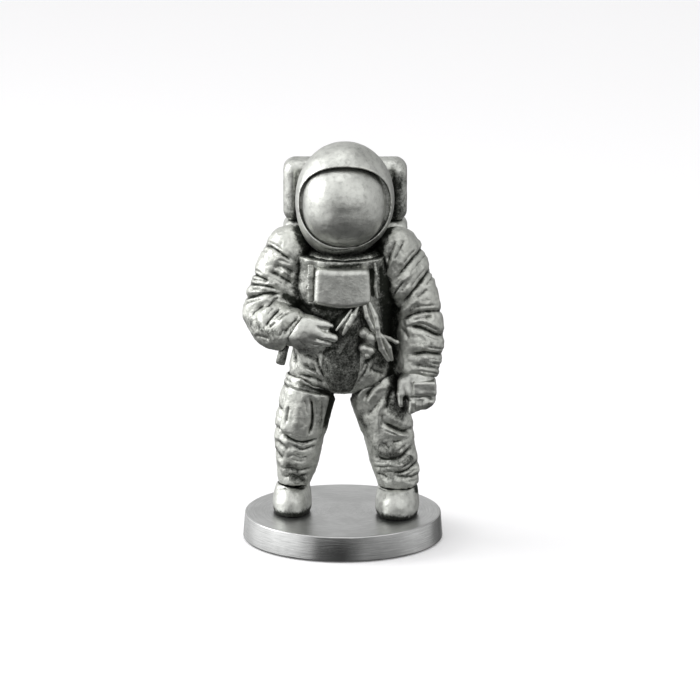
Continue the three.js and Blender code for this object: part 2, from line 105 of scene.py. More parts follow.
class Clay:
    """A block of modelling clay: distances to its surface on a grid over the box from low to high, in mm."""

    def __init__(self, low, high, voxel=FINE_VOXEL):
        margin = 4 * voxel
        self.voxel = voxel
        self.low = np.floor((np.asarray(low, float) - margin) / voxel) * voxel
        self.shape = tuple(int(n) for n in np.ceil((np.asarray(high, float) + margin - self.low) / voxel) + 1)
        self.distance = np.full(self.shape, FAR, np.float32)
        axes = [self.low[i] + voxel * np.arange(self.shape[i], dtype=np.float32) for i in range(3)]
        self.x, self.y, self.z = np.meshgrid(*axes, indexing="ij", sparse=True)

    def add(self, distance, blend=0.0):
        self.distance = soft_min(self.distance, distance, blend)
        return self

    def carve(self, distance, blend=0.0):
        self.distance = -soft_min(-self.distance, distance, blend)
        return self

    def surface(self):
        """The surface's points, in mm, and its four-sided faces."""
        band = 3 * self.voxel
        grid = openvdb.FloatGrid(band)
        grid.copyFromArray(np.ascontiguousarray(self.distance.clip(-band, band), dtype=np.float32))
        points, quads = grid.convertToQuads()
        return points.astype(float) * self.voxel + self.low, quads.astype(np.int64)

    def ball(self, centre, radii):
        """The distance to an ellipsoid, exact on its surface."""
        parts = [(a - c) / r for a, c, r in zip((self.x, self.y, self.z), centre, radii)]
        scaled = np.sqrt(sum(p * p for p in parts))
        slope = np.sqrt(sum((p / r) ** 2 for p, r in zip(parts, radii))) + 1e-6
        return (scaled - 1) * scaled / slope

    def stick(self, start, end, start_radius, end_radius):
        """The distance to a round stick whose radius changes along it."""
        start, step = np.asarray(start, float), np.asarray(end, float) - start
        along = sum((a - s) * d for a, s, d in zip((self.x, self.y, self.z), start, step)) / (step @ step)
        along = along.clip(0, 1)
        offsets = [a - s - along * d for a, s, d in zip((self.x, self.y, self.z), start, step)]
        return np.sqrt(sum(o * o for o in offsets)) - (start_radius + along * (end_radius - start_radius))

    def roll(self, points, radii, blend=0.0):
        """The distance to a roll of clay through the points, with a radius at each."""
        total = None
        for i in range(len(points) - 1):
            part = self.stick(points[i], points[i + 1], radii[i], radii[i + 1])
            total = part if total is None else soft_min(total, part, blend)
        return total

    def block(self, low, high, radius):
        """The distance to a box with rounded edges."""
        middle = (np.asarray(low, float) + high) / 2
        half = (np.asarray(high, float) - low) / 2 - radius
        parts = [np.abs(a - m) - h for a, m, h in zip((self.x, self.y, self.z), middle, half)]
        outside = np.sqrt(sum(np.maximum(p, 0) ** 2 for p in parts))
        inside = np.minimum(np.maximum(np.maximum(*parts[:2]), parts[2]), 0)
        return outside + inside - radius


def soft_min(a, b, blend):
    if blend <= 0:
        return np.minimum(a, b)
    share = (0.5 + 0.5 * (b - a) / blend).clip(0, 1)
    return b + share * (a - b) - blend * share * (1 - share)


def node_box(node):
    """The lowest and highest corners of the CAD node, in mm."""
    low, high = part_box(node)
    return np.array(low) / MM, np.array(high) / MM


def clay_for(node, margin, voxel=FINE_VOXEL):
    """A block of clay with a margin round the CAD node."""
    low, high = node_box(node)
    return Clay(low - margin, high + margin, voxel)


def cad_clay(node, voxel=SUIT_VOXEL, soften=0.55, grow=0.0, headroom=0.0):
    """The CAD node as clay, with its facets blurred away over about soften mm, and its surface moved out by
    grow. The block of clay reaches further up by headroom, and further down by a quarter of it."""
    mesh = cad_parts[node].data
    mesh.calc_loop_triangles()
    points = np.empty(len(mesh.vertices) * 3, np.float32)
    mesh.vertices.foreach_get("co", points)
    triangles = np.empty(len(mesh.loop_triangles) * 3, np.int32)
    mesh.loop_triangles.foreach_get("vertices", triangles)
    points = points.reshape(-1, 3) / MM
    band = math.ceil(3 * soften / voxel) + 2
    margin = band * voxel / 2
    clay = Clay(points.min(0) - margin - headroom / 4, points.max(0) + margin + headroom, voxel)
    grid = openvdb.FloatGrid.createLevelSetFromPolygons(
        ((points - clay.low) / voxel).astype(np.float32),
        triangles=triangles.reshape(-1, 3).astype(np.uint32),
        transform=openvdb.createLinearTransform(voxelSize=1.0),
        halfWidth=band,
    )
    values = np.full(clay.shape, band, np.float32)
    grid.copyToArray(values, ijk=(0, 0, 0))
    clay.distance = blurred(values * voxel, soften / voxel) - grow
    return clay


# -------- folds


def smooth_path(points, per_span=5):
    """Points along a Catmull-Rom curve through the given ones."""
    p = np.asarray(points, float)
    ends = np.vstack([2 * p[0] - p[1], p, 2 * p[-1] - p[-2]])
    t = np.linspace(0, 1, per_span, endpoint=False)[:, None]
    spans = []
    for i in range(len(p) - 1):
        a, b, c, d = ends[i : i + 4]
        bend = (2 * a - 5 * b + 4 * c - d) * t**2 + (3 * b - a - 3 * c + d) * t**3
        spans.append(0.5 * (2 * b + (c - a) * t + bend))
    return np.vstack([*spans, p[-1:]])


def near_path(points, path):
    """Each point's distance to the path, and how far along it the nearest place is, from 0 to 1."""
    nearest = np.full(len(points), np.inf)
    along = np.zeros(len(points))
    steps = np.diff(path, axis=0)
    lengths = np.linalg.norm(steps, axis=1)
    marks = np.concatenate([[0], np.cumsum(lengths)]) / lengths.sum()
    for i, (start, step) in enumerate(zip(path, steps)):
        t = ((points - start) @ step / (step @ step)).clip(0, 1)
        distance = np.linalg.norm(points - start - t[:, None] * step, axis=1)
        closer = distance < nearest
        nearest[closer] = distance[closer]
        along[closer] = marks[i] + t[closer] * (marks[i + 1] - marks[i])
    return nearest, along


def groove(q):
    """A crease's section: a valley between two soft lips. q is the distance over the crease's width."""
    line = -0.5 * np.exp(-q * q)
    bulges = -0.7 * np.exp(-np.sqrt(q * q + 0.15) / 1.9) + 0.14 * np.exp(-(((np.abs(q) - 4) / 1.6) ** 2))
    return line + bulges


def crease(depth, width, *line):
    """A valley with soft lips along the line, which is drawn on the picture plane."""
    return "crease", depth, width, line


def ridge(height, width, *line):
    """A raised fold along the line."""
    return "ridge", height, width, line


def shade_and_patina(amount, width, *line):
    """Painted shade, with patina, along the line: dark colour without a change of shape, where parts crowd
    together or turn away from the light.
    """
    return "shade_and_patina", amount, width, line


def press_folds(points, facing, folds):
    """The height of the folds at each point, in mm, and how much of them lies in creases, from 0 to 1, with
    the painted shade of the dark strokes added in.
    """
    plane = picture_plane(points)
    height = np.zeros(len(points))
    depth_of_tone = np.zeros(len(points))
    for kind, amount, width, line in [*folds, *companions(folds)]:
        path = smooth_path(line)
        reach = 6.5 * width
        near = np.all((plane > path.min(0) - reach) & (plane < path.max(0) + reach), axis=1) & (facing > 0)
        if not near.any():
            continue
        distance, along = near_path(plane[near], path)
        q = distance / (width * (0.85 if kind == "crease" else 1))
        taper = smoothstep(0, 0.22, np.minimum(along, 1 - along)) * 0.85 + 0.15
        if kind == "crease":
            height[near] += amount * taper * groove(q) * facing[near]
            tone = 0.9 * np.exp(-((q / 0.8) ** 2)) * taper * min(1.0, 0.3 + amount)
        elif kind == "ridge":
            height[near] += amount * taper * np.exp(-q * q) * facing[near]
            tone = 0
        else:
            # Painted shade, with patina: a dark stroke that only darkens the colour and leaves the shape as
            # it is.
            tone = amount * np.exp(-q * q) * taper
        depth_of_tone[near] = np.maximum(depth_of_tone[near], tone * facing[near])
    return height, depth_of_tone


def companions(folds):
    """Shallower, shorter folds that run beside the longer creases, as cloth has them."""
    random = np.random.default_rng(3)
    extra = []
    for kind, _, _, line in folds:
        path = smooth_path(line)
        length = np.linalg.norm(np.diff(path, axis=0), axis=1).sum()
        if kind != "crease" or length < 3.2:
            continue
        for side in (-1, 1):
            first = random.uniform(0.05, 0.35)
            part = path[int(first * len(path)) : int((first + random.uniform(0.4, 0.6)) * len(path)) : 4]
            if len(part) < 3:
                continue
            along = part[-1] - part[0]
            across = np.array([-along[1], along[0]]) / np.linalg.norm(along)
            shifted = part + side * random.uniform(0.75, 1.3) * across
            extra.append(crease(random.uniform(0.14, 0.3), random.uniform(0.16, 0.26), *shifted))
    return extra


def value_noise(points, size, seed):
    """Smooth noise of about unit height, with lumps of the given size in mm."""
    period = 24
    lattice = np.random.default_rng(seed).standard_normal((period, period, period))
    scaled = points / size
    cell = np.floor(scaled).astype(int)
    part = scaled - cell
    part = part * part * (3 - 2 * part)
    total = np.zeros(len(points))
    for corner in np.ndindex(2, 2, 2):
        index = (cell + corner) % period
        weight = np.prod(np.where(corner, part, 1 - part), axis=1)
        total += weight * lattice[index[:, 0], index[:, 1], index[:, 2]]
    return total


def wrap_folds(points, axis_points, spacing, depth, seed):
    """Folds that wrap round a limb, for the sides and back: tilted rings of crease along its axis."""
    axis = smooth_path(axis_points)
    length = np.linalg.norm(np.diff(axis, axis=0), axis=1).sum()
    _, along = near_path(points, axis)
    along = along * length
    marks = np.linspace(0, 1, len(axis))
    centre = np.stack([np.interp(along / length, marks, axis[:, i]) for i in range(3)], 1)
    around = np.arctan2(points[:, 0] - centre[:, 0], points[:, 1] - centre[:, 1])
    random = np.random.default_rng(seed)
    height = np.zeros(len(points))
    tone = np.zeros(len(points))
    wander = 0.35 * value_noise(points, 3.0, seed)
    for place in np.arange(spacing * 0.6, length, spacing):
        place = place + random.uniform(-0.25, 0.25) * spacing
        tilt, turn = random.uniform(0.5, 1.4), random.uniform(-math.pi, math.pi)
        middle, strength = random.uniform(-1.4, 1.4), random.uniform(0.6, 1.0)
        width = random.uniform(0.38, 0.6)
        q = (along - place - tilt * np.cos(around - turn) + wander) / width
        share = strength * (0.25 + 0.75 * (0.5 + 0.5 * np.cos(around - middle)) ** 2)
        height += depth * share * groove(q)
        tone = np.maximum(tone, share * np.exp(-((q / 0.8) ** 2)))
    return height, tone


# -------- pieces

pieces = {}

# The casting's uneven skin: each layer of noise has a share of the height, and lumps of one size in mm.
LUMP_SIZES = [(1.0, 1.5), (0.6, 0.7), (0.25, 0.36)]
LUMP_SEED = 5


def normals_of(points, quads):
    corners = points[quads]
    faces = np.cross(corners[:, 2] - corners[:, 0], corners[:, 3] - corners[:, 1])
    normals = np.zeros_like(points)
    for i in range(3):
        for corner in range(4):
            normals[:, i] += np.bincount(quads[:, corner], faces[:, i], len(points))
    return normals / (np.linalg.norm(normals, axis=1, keepdims=True) + 1e-12)


def relaxed(points, quads, rounds, share=0.5):
    """The points after each has moved part of the way to the middle of its neighbours, rounds times."""
    ends = np.concatenate([quads[:, [i, (i + 1) % 4]] for i in range(4)])
    ends = np.concatenate([ends, ends[:, ::-1]])
    count = np.bincount(ends[:, 0], minlength=len(points))[:, None]
    for _ in range(rounds):
        total = np.stack([np.bincount(ends[:, 0], points[ends[:, 1], i], len(points)) for i in range(3)], 1)
        points = points + share * (total / count - points)
    return points


def add_piece(name, points, quads, slot, nodes, tone=None, patina_and_shade=0.0, hold=1.0, caps=()):
    """Makes the mesh object, which stands for the CAD nodes.

    tone is darkening by point: patina in the creases, with painted shade along the dark strokes. The piece is
    darkened overall by the given share, patina with painted shade. hold is how much of the painted shade in
    its recesses, where parts crowd together, the piece keeps.
    caps are triangles that close the ends of a piece made of rings.
    """
    mesh = bpy.data.meshes.new(name)
    mesh.from_pydata((points * MM).tolist(), [], quads.tolist() + [list(cap) for cap in caps])
    mesh.shade_smooth()
    thing = bpy.data.objects.new(name, mesh)
    bpy.context.scene.collection.objects.link(thing)
    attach(thing, "root")
    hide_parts(*nodes)
    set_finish(thing, slot)
    pieces[name] = {
        "object": thing,
        "points": points,
        "quads": np.vstack([quads, [(a, b, c, c) for a, b, c in caps]]) if caps else quads,
        "tone": np.zeros(len(points)) if tone is None else tone,
        "patina_and_shade": patina_and_shade,
        "hold": hold,
    }


def add_clay(name, clay, slot, folds=(), patina_and_shade=0.0, lumps=0.03, wrap=None, hold=1.0, node=None):
    """Adds a clay piece with its folds pressed in. wrap gives the folds of the sides and back.

    The piece stands for the CAD node of the same name, unless another node is given.
    """
    points, quads = clay.surface()
    normals = normals_of(relaxed(points, quads, 4), quads)
    facing = smoothstep(-0.3, 0.05, normals @ TO_VIEWER)
    height, tone = press_folds(points, facing, folds)
    if wrap:
        wrap_height, wrap_tone = wrap_folds(points, **wrap)
        height += (1 - facing) * wrap_height
        tone = np.maximum(tone, (1 - facing) * wrap_tone)
    for share, size in LUMP_SIZES:
        height += lumps * share * value_noise(points, size, LUMP_SEED)
    points = relaxed(points + height[:, None] * normals, quads, 1, 0.4)
    add_piece(name, points, quads, slot, [node or name], tone, patina_and_shade, hold)


# -------- the suit

# The suit's folds. Their dark strokes, which change no shape, are painted shade with patina, where parts
# crowd together or turn away from the light.
RIGHT_SLEEVE_FOLDS = [
    shade_and_patina(0.55, 1.3, (-19.6, 44.4), (-17.4, 42), (-14.8, 40.8), (-12.2, 40.4)),
    crease(0.6, 0.42, (-17.6, 59), (-15.6, 58.4), (-14.2, 57.9), (-12.6, 56.7), (-11.2, 55.7), (-9.6, 54.9)),
    crease(0.45, 0.5, (-14.2, 54.3), (-12.4, 54), (-10.8, 53.3), (-9.3, 52.4)),
    ridge(0.3, 0.4, (-12.4, 53.3), (-10.9, 52.5), (-9.5, 51.3)),
    crease(0.6, 0.5, (-15.2, 53.1), (-13.6, 52.5), (-12.2, 51.7), (-11, 51), (-9.6, 50.2)),
    crease(0.7, 0.34, (-20.4, 53.8), (-18.6, 52.9), (-17.4, 52.3), (-16, 51.6), (-14.5, 50.8)),
    crease(0.65, 0.4, (-21.6, 51.3), (-19.6, 50.9), (-17.8, 50.5), (-16, 50.2), (-14.4, 49.8), (-12.6, 49)),
    crease(0.85, 0.42, (-21.8, 47.4), (-19.4, 48), (-17.6, 48.3), (-15.6, 48.7), (-13.8, 48.5), (-12, 48.2)),
    crease(0.5, 0.36, (-12.6, 47.9), (-13.6, 47.5), (-14.6, 46.7), (-15.6, 45.9)),
    crease(0.5, 0.34, (-15.6, 46.7), (-16.8, 46), (-17.9, 45), (-18.8, 43.9)),
    crease(0.28, 0.34, (-20.2, 45.8), (-19.4, 46.8), (-18.2, 47.3), (-17, 47.6)),
    crease(0.75, 0.4, (-12.3, 46.2), (-13.6, 45.1), (-14.8, 43.8), (-15.5, 42.7), (-15.8, 41.7)),
    crease(0.45, 0.3, (-13.4, 43.1), (-14.2, 42.4), (-15, 41.7)),
    crease(0.4, 0.4, (-10.6, 45.3), (-11.8, 44.4), (-13, 43.2)),
    ridge(0.4, 0.55, (-12.9, 42.4), (-11.2, 43.8), (-9.5, 44.7), (-8, 44.9)),
    crease(0.5, 0.5, (-8.6, 44.4), (-10, 43.1), (-11.2, 41.6), (-12, 40)),
    crease(0.3, 0.26, (-12, 41.6), (-12.3, 40.8), (-12.8, 39.8)),
    crease(0.3, 0.4, (-17.6, 43.8), (-17.4, 42.4), (-16.8, 41)),
    crease(0.3, 0.36, (-17.8, 40.2), (-16, 39.9), (-14.6, 39.2)),
    shade_and_patina(0.75, 1.7, (-8.4, 57.6), (-8.4, 53.4), (-9, 50), (-10.8, 48.3)),
    shade_and_patina(0.5, 1.2, (-10.4, 54.6), (-10.8, 52), (-11.4, 50)),
    shade_and_patina(1.0, 0.9, (-12.8, 48.5), (-11, 47.9), (-9.4, 46.6), (-8, 45.6)),
    shade_and_patina(0.8, 0.5, (-7.4, 44.6), (-9, 42.6), (-10.4, 40.4), (-11.4, 38.2)),
]
LEFT_SLEEVE_FOLDS = [
    crease(0.5, 0.34, (10.7, 59.4), (10, 57.8), (9.2, 56.2), (8.8, 54.8)),
    crease(0.35, 0.4, (12.6, 59.6), (11.8, 58), (10.8, 56.4), (10, 55.2)),
    ridge(0.3, 0.5, (11.4, 57.5), (10.2, 55.6), (9.2, 53.4), (8.4, 51.4)),
    crease(0.65, 0.42, (18.4, 60), (16.2, 57.8), (14.4, 55.7), (12.7, 53.8), (11.2, 52.3), (10, 51)),
    crease(0.5, 0.34, (12.5, 51.4), (11.4, 50.1), (10.4, 48.9), (9.8, 47.8)),
    ridge(0.35, 0.5, (14.4, 53.4), (12.6, 51.8), (11, 49.4), (10, 47.2)),
    crease(
        0.85, 0.42,
        (20, 55.2), (18, 53.6), (16.6, 51.9), (15.2, 50.1), (13.6, 48.2), (12.2, 46.8), (11.2, 45.7),
    ),
    crease(0.35, 0.4, (17, 49.6), (15.8, 48.4), (14.6, 47.6)),
    ridge(0.35, 0.5, (15.6, 48), (13.8, 46.6), (12, 45.2), (11, 44.2)),
    crease(0.65, 0.4, (22.4, 45.6), (20, 45.3), (18, 45.1), (16, 44.9), (14, 44.3), (12, 43.4), (10.6, 43)),
    crease(0.35, 0.28, (18.2, 43.9), (17.4, 44), (16.6, 43.6)),
    crease(0.3, 0.4, (11.4, 41.8), (12.6, 40.6), (13.2, 39.4)),
    crease(
        0.95, 0.36,
        (23, 40.2), (20.4, 40.4), (18.8, 40.6), (17.4, 41.2), (15.8, 41.8), (14, 42), (12.6, 41.9),
    ),
    crease(0.95, 0.36, (22.6, 36.3), (20, 36.5), (18.4, 36.7), (16.6, 36.9), (14.8, 36.7), (12.6, 36.4)),
    crease(0.35, 0.5, (21, 33.4), (19.3, 33.6), (17.6, 33.9), (15.6, 34.2), (13.6, 34.4)),
    shade_and_patina(0.45, 1.1, (16, 46.2), (14.4, 45.6), (12.8, 45)),
    shade_and_patina(0.3, 1.0, (18.4, 39), (16.6, 38.2), (15, 37.6)),
    shade_and_patina(0.25, 0.7, (18.2, 35.1), (16, 35.2), (14.4, 35)),
    shade_and_patina(0.9, 1.0, (8, 53), (8.8, 50), (9.6, 47), (9.9, 43.6)),
]
TORSO_FOLDS = [
    shade_and_patina(0.95, 0.9, (-9.6, 57.4), (-9.4, 54), (-9.4, 50.6), (-9.8, 47.4), (-8.6, 45.6)),
    shade_and_patina(1.0, 1.9, (8.6, 56.4), (8.8, 52), (9, 48), (9, 43), (9.6, 38), (9.2, 34)),
    shade_and_patina(0.8, 0.4, (-4.2, 54.2), (-1.5, 54.1), (2, 54.2), (4.6, 54.6)),
    shade_and_patina(1.0, 0.7, (5.8, 54.6), (6, 51), (6.1, 47.4)),
    shade_and_patina(1.0, 0.5, (7.6, 55), (7.7, 51), (7.6, 48)),
    shade_and_patina(0.9, 0.45, (-5.8, 46.6), (-3, 45.8), (0, 45.6), (3, 45.9), (5.4, 46.3)),
    crease(0.4, 0.4, (-8.6, 46.6), (-7.6, 45.6), (-6.4, 44.7)),
    crease(0.35, 0.35, (-6, 46.2), (-4.6, 45.4), (-3, 45)),
    ridge(0.3, 0.8, (-6.6, 45.8), (-5, 44.8), (-3, 43.8), (-1.6, 42.4)),
    shade_and_patina(0.6, 2.2, (1.6, 44.6), (0.6, 42), (-0.4, 39), (-0.4, 36)),
    crease(0.45, 0.5, (3.4, 45.6), (2.6, 43.4), (1.4, 41.6), (0.2, 40.6)),
    shade_and_patina(1.0, 0.6, (3.2, 45), (2.2, 42.6), (0.8, 41)),
    shade_and_patina(1.0, 0.7, (4, 45.6), (4.8, 42.6), (6.4, 40.4), (7, 38), (8.2, 35.2)),
    shade_and_patina(1.0, 0.8, (7.4, 44), (8.8, 41.4), (10, 38.4), (10.2, 35)),
    shade_and_patina(0.8, 0.9, (3.2, 41.4), (3.2, 39), (3, 36.8)),
    shade_and_patina(0.85, 0.6, (5.6, 38.6), (6.2, 36.6), (5, 35), (3.8, 35.4)),
    shade_and_patina(0.75, 1.5, (6.6, 38), (7.6, 35.6), (6.8, 33.4)),
    ridge(0.28, 0.3, (1.6, 40.8), (0.7, 39), (-0.6, 36.6)),
    ridge(0.3, 0.5, (2, 44.6), (1.8, 42), (2, 39.5)),
    crease(0.5, 0.4, (-5.4, 36.8), (-5.2, 35), (-4.6, 33.4), (-3.4, 31.8), (-2.2, 30.3)),
    crease(0.4, 0.4, (4.6, 36.6), (5.1, 34.8), (4.6, 33.2), (3.6, 31.6), (2.6, 30.2)),
    crease(0.4, 0.36, (-8, 36.6), (-6.6, 36), (-5.4, 35.4)),
    crease(0.45, 0.36, (-8, 34.4), (-6.6, 33.6), (-5.2, 33)),
    ridge(0.25, 0.35, (-7.4, 33.6), (-6, 32.9), (-4.8, 32.2)),
    crease(0.45, 0.4, (-9, 32.4), (-7, 31.9), (-5, 31.2), (-3.4, 30.2)),
    crease(0.4, 0.45, (5.4, 33.8), (6.8, 33), (8.6, 32.4)),
    crease(0.35, 0.5, (-10.4, 38.2), (-9.8, 36.4), (-9.6, 34.4)),
]
RIGHT_LEG_FOLDS = [
    ridge(0.35, 0.35, (-9.4, 31.5), (-7.4, 31), (-5.4, 30.4), (-3.6, 29.7)),
    crease(0.55, 0.36, (-9.6, 30.6), (-7.6, 30.2), (-5.4, 29.6), (-3.2, 28.8), (-1.8, 28)),
    crease(0.45, 0.36, (-13.2, 31.6), (-12.2, 30.8), (-11, 29.9), (-9.6, 29.6)),
    crease(0.35, 0.3, (-12.4, 34.4), (-11.2, 33.4), (-10.2, 32.6)),
    crease(0.35, 0.36, (-13.6, 27.2), (-12.8, 26), (-12, 25.1)),
    crease(0.35, 0.36, (-14, 22.2), (-13, 21.8), (-12.2, 21.4)),
    crease(0.75, 0.36, (-12.9, 21), (-11.4, 19.9), (-9.8, 19), (-8, 18.7), (-6.4, 19), (-4.6, 19.8)),
    crease(0.45, 0.34, (-10.8, 18.2), (-9.4, 17.7), (-8.2, 17.3), (-6.8, 17.6), (-4.8, 18.4)),
    crease(0.4, 0.36, (-14, 17.9), (-13, 16.6), (-12, 15.2)),
    crease(0.3, 0.36, (-13.4, 19.4), (-12, 18.2), (-10.8, 17)),
    crease(0.25, 0.32, (-11.6, 15.6), (-10, 16.2), (-8.4, 15.6), (-6.6, 16.2)),
    crease(0.55, 0.36, (-12.8, 13.9), (-11.2, 13.5), (-9.4, 13.1), (-7.8, 13.1), (-5.8, 13.9)),
    crease(0.5, 0.4, (-12.4, 12.4), (-11.4, 11.9), (-10.4, 12.3), (-9.2, 11.7), (-7.6, 12), (-6.4, 12.4)),
    shade_and_patina(0.8, 0.7, (-11.6, 12.2), (-10.4, 11.8), (-8.6, 11.4), (-7, 11.2)),
    shade_and_patina(1.0, 1.0, (-1.6, 30), (-2.4, 27.4), (-3.1, 24.4), (-3.8, 21)),
    shade_and_patina(0.65, 1.1, (-11.6, 14.8), (-10, 13.4), (-8, 12.4)),
    shade_and_patina(0.7, 0.6, (-9.4, 30), (-6.4, 29.3), (-3.4, 28.4)),
]
LEFT_LEG_FOLDS = [
    ridge(0.4, 0.5, (6.6, 31.9), (5.2, 30.4), (3.8, 28.8), (2.8, 27.4)),
    crease(0.65, 0.4, (8, 31.3), (6.4, 30.6), (5.2, 29.2), (4.2, 27.6)),
    ridge(0.35, 0.6, (8.6, 30.4), (7, 29.6), (5.6, 27.8), (4.6, 26)),
    crease(0.35, 0.4, (8.2, 28.4), (6.8, 26.4), (5.6, 25), (4.6, 23.8)),
    crease(0.6, 0.42, (10, 29.6), (9.5, 27.6), (9, 25.9), (8.4, 26.6)),
    ridge(0.45, 0.5, (7.8, 27), (7.3, 25), (7.2, 23), (7, 21.4)),
    crease(0.35, 0.45, (7.9, 24.6), (7.8, 23.2), (7.6, 21.8)),
    crease(0.85, 0.42, (7.8, 22.8), (9.4, 22.1), (11, 21.5), (12.6, 21.1), (14.2, 21.8)),
    ridge(0.4, 0.5, (8, 22), (10, 20.9), (12, 20.3), (13.8, 20.2)),
    crease(0.4, 0.34, (9.8, 18.9), (10.8, 18.9), (12, 19.3)),
    crease(0.4, 0.36, (8.2, 18.8), (8.8, 18), (9.4, 17.4)),
    ridge(0.35, 0.9, (6.2, 20), (6.8, 18.2), (8.4, 16.9), (10.4, 16.9)),
    crease(0.75, 0.44, (14.4, 18.6), (13.2, 17.2), (11.8, 16), (10, 15.4), (8, 15.3), (6, 16.2)),
    crease(0.7, 0.42, (15.6, 15.6), (14.4, 14.3), (13, 13.2), (11.4, 12.6), (9.6, 12.7)),
    crease(0.4, 0.34, (6, 14), (7.8, 13.8), (9.6, 13.9), (11.2, 13.8)),
    crease(0.55, 0.34, (15.8, 13), (14.6, 12.1), (13, 11.8), (11.2, 11.9), (9.8, 12.2)),
    crease(0.4, 0.32, (6.6, 12.6), (7.8, 12.2), (9, 11.6)),
    shade_and_patina(0.6, 1.7, (9.4, 27.4), (11, 25), (13, 23.4)),
    shade_and_patina(0.8, 0.9, (9.6, 30.4), (9.4, 28), (9.2, 26.4)),
    shade_and_patina(0.6, 0.9, (14, 16.6), (13, 15), (11.6, 14.2)),
    shade_and_patina(0.5, 0.9, (3, 26), (4, 23), (5, 20.4)),
    shade_and_patina(0.45, 2.4, (6, 19.4), (9.6, 16.6), (13, 15)),
    shade_and_patina(0.35, 1.6, (7.4, 13.8), (10, 12.6), (13, 12.2)),
]

# The casting fills the gaps between the arms and the chest, and between the thighs: each web runs from one
# point to another and has a radius at each.
WEBS = {
    "right_sleeve": [((-10.2, -0.6, 59), (-10.1, -1.4, 50.4), 3.2, 3.0)],
    "left_sleeve": [
        ((10.6, -1.2, 61), (11.7, -1.8, 52.5), 3.6, 3.5),
        ((11.2, 0.6, 47), (11.3, -0.4, 35), 2.4, 2.4),
        ((13.3, -2, 51.5), (13.6, -2.4, 38), 2.5, 2.5),
    ],
    "right_leg": [((-4.1, -1.8, 31.6), (-5.5, -1.9, 23.6), 2.6, 2.3)],
    "left_leg": [((4.2, -1.4, 31.6), (6, -1.4, 24), 2.6, 2.3)],
}

CROTCH = 30.3
COLLAR = [
    at(-7.2, 56.4, -2.6), at(-5.8, 55.7, -4.8), at(-3.2, 55, -6.2), at(0.4, 54.8, -6.7), at(3.6, 55.1, -6.2),
    at(5.8, 55.9, -4.6), at(7, 56.8, -2.4),
]
COLLAR_RADII = [1.8, 1.9, 1.9, 1.9, 1.8, 1.8, 1.6]

# The sleeves' and legs' axes, which the folds of the sides and back wrap round.
AXES = {
    "right_sleeve": [(-10.3, 1.6, 61), (-12.2, 1.7, 54), (-14.6, 0.8, 47.4), (-13.5, -4, 44.8)],
    "left_sleeve": [(10.7, 1.6, 61), (13, 1.7, 53), (15.1, 0.8, 45), (15.1, -2.7, 34)],
    "right_leg": [(-5.6, 1, 35), (-8, 0.4, 25.5), (-9, 0.2, 18), (-9.8, 0.6, 10)],
    "left_leg": [(5.8, 1, 35), (8.5, 0, 25), (9.9, -0.9, 18), (11, -1.4, 10)],
}
WRAP_SPACING = 2.7
WRAP_DEPTH = 0.55
SUIT_LUMPS = 0.075

# Each part of the suit: its folds and its overall darkening, patina with painted shade.
SUIT = {
    "torso": (TORSO_FOLDS, 0.16),
    "right_sleeve": (RIGHT_SLEEVE_FOLDS, 0.0),
    "left_sleeve": (LEFT_SLEEVE_FOLDS, 0.0),
    "right_leg": (RIGHT_LEG_FOLDS, 0.05),
    "left_leg": (LEFT_LEG_FOLDS, 0.05),
}


# The right cuff on the picture plane: its middle, and the direction from there to the hand.
CUFF_MIDDLE = (-9.3, 41.4)
CUFF_DIRECTION = (0.82, -0.57)


def beyond_cuff(clay):
    """How far each point lies beyond the right sleeve's cuff, towards the hand."""
    height = clay.z * TILT_COS + clay.y * TILT_SIN
    return (clay.x - CUFF_MIDDLE[0]) * CUFF_DIRECTION[0] + (height - CUFF_MIDDLE[1]) * CUFF_DIRECTION[1]


def make_suit():
    """The torso, sleeves and legs, each from its CAD solid."""
    for seed, (name, (folds, patina_and_shade)) in enumerate(SUIT.items()):
        wrap = None
        if name in AXES:
            wrap = {"axis_points": AXES[name], "spacing": WRAP_SPACING, "depth": WRAP_DEPTH, "seed": seed}
        clay = cad_clay(name, grow=0.2)
        for web in WEBS.get(name, []):
            clay.add(clay.stick(*web), 1.2)
        if name == "torso":
            clay.add(clay.roll(COLLAR, COLLAR_RADII, 0.5), 2.6)
            clay.carve(clay.z - CROTCH, 1.2)
        if name == "right_sleeve":
            clay.add(clay.stick(at(-13.4, 43.3, -3.4), at(-9.4, 41.6, -7.6), 3.9, 3.55), 0.8)
            clay.carve(-beyond_cuff(clay), 0.3)
        add_clay(name, clay, "cast_pewter", folds, patina_and_shade, SUIT_LUMPS, wrap)


# -------- helmet and visor


def egg(clay, centre, radii, crown, chin, drift=0.0):
    """The distance to an egg that is fuller than an ellipsoid: crown is its power above the middle, and chin
    below. drift leans its lower half sideways."""
    height = (clay.z - centre[2]) / radii[2]
    power = np.where(height > 0, crown, chin)
    lean = np.where(height < 0, drift * height * height, 0)
    across = (clay.x - centre[0] - lean) / radii[0]
    deep = (clay.y - centre[1]) / radii[1]
    around = np.sqrt(across**2 + deep**2)
    scaled = (around**power + np.abs(height) ** power) ** (1 / power)
    return (scaled - 1) * min(radii)


HELMET = {"centre": (0.4, -1.2, 70.3), "radii": (9.9, 10, 11.7), "crown": 2.06, "chin": 2.1, "drift": -1.1}
# The dark stroke along the helmet's lower edge is painted shade with patina.
HELMET_FOLDS = [
    crease(0.16, 0.4, (-6.6, 58.2), (-3.6, 56.6), (-0.6, 56.2), (2.9, 57.1), (6.2, 58.9), (8, 60.8)),
    shade_and_patina(0.3, 0.7, (0.6, 56.8), (3.6, 57.6), (6.6, 59.6), (8.4, 61.8)),
]
OPENING = {"centre": (0.4, -10, 70.45), "radii": (9.1, 1, 8.25), "crown": 2.2, "chin": 2.2}
OPENING_BACK = -4.2
CHIN_BOTTOM = 58.9


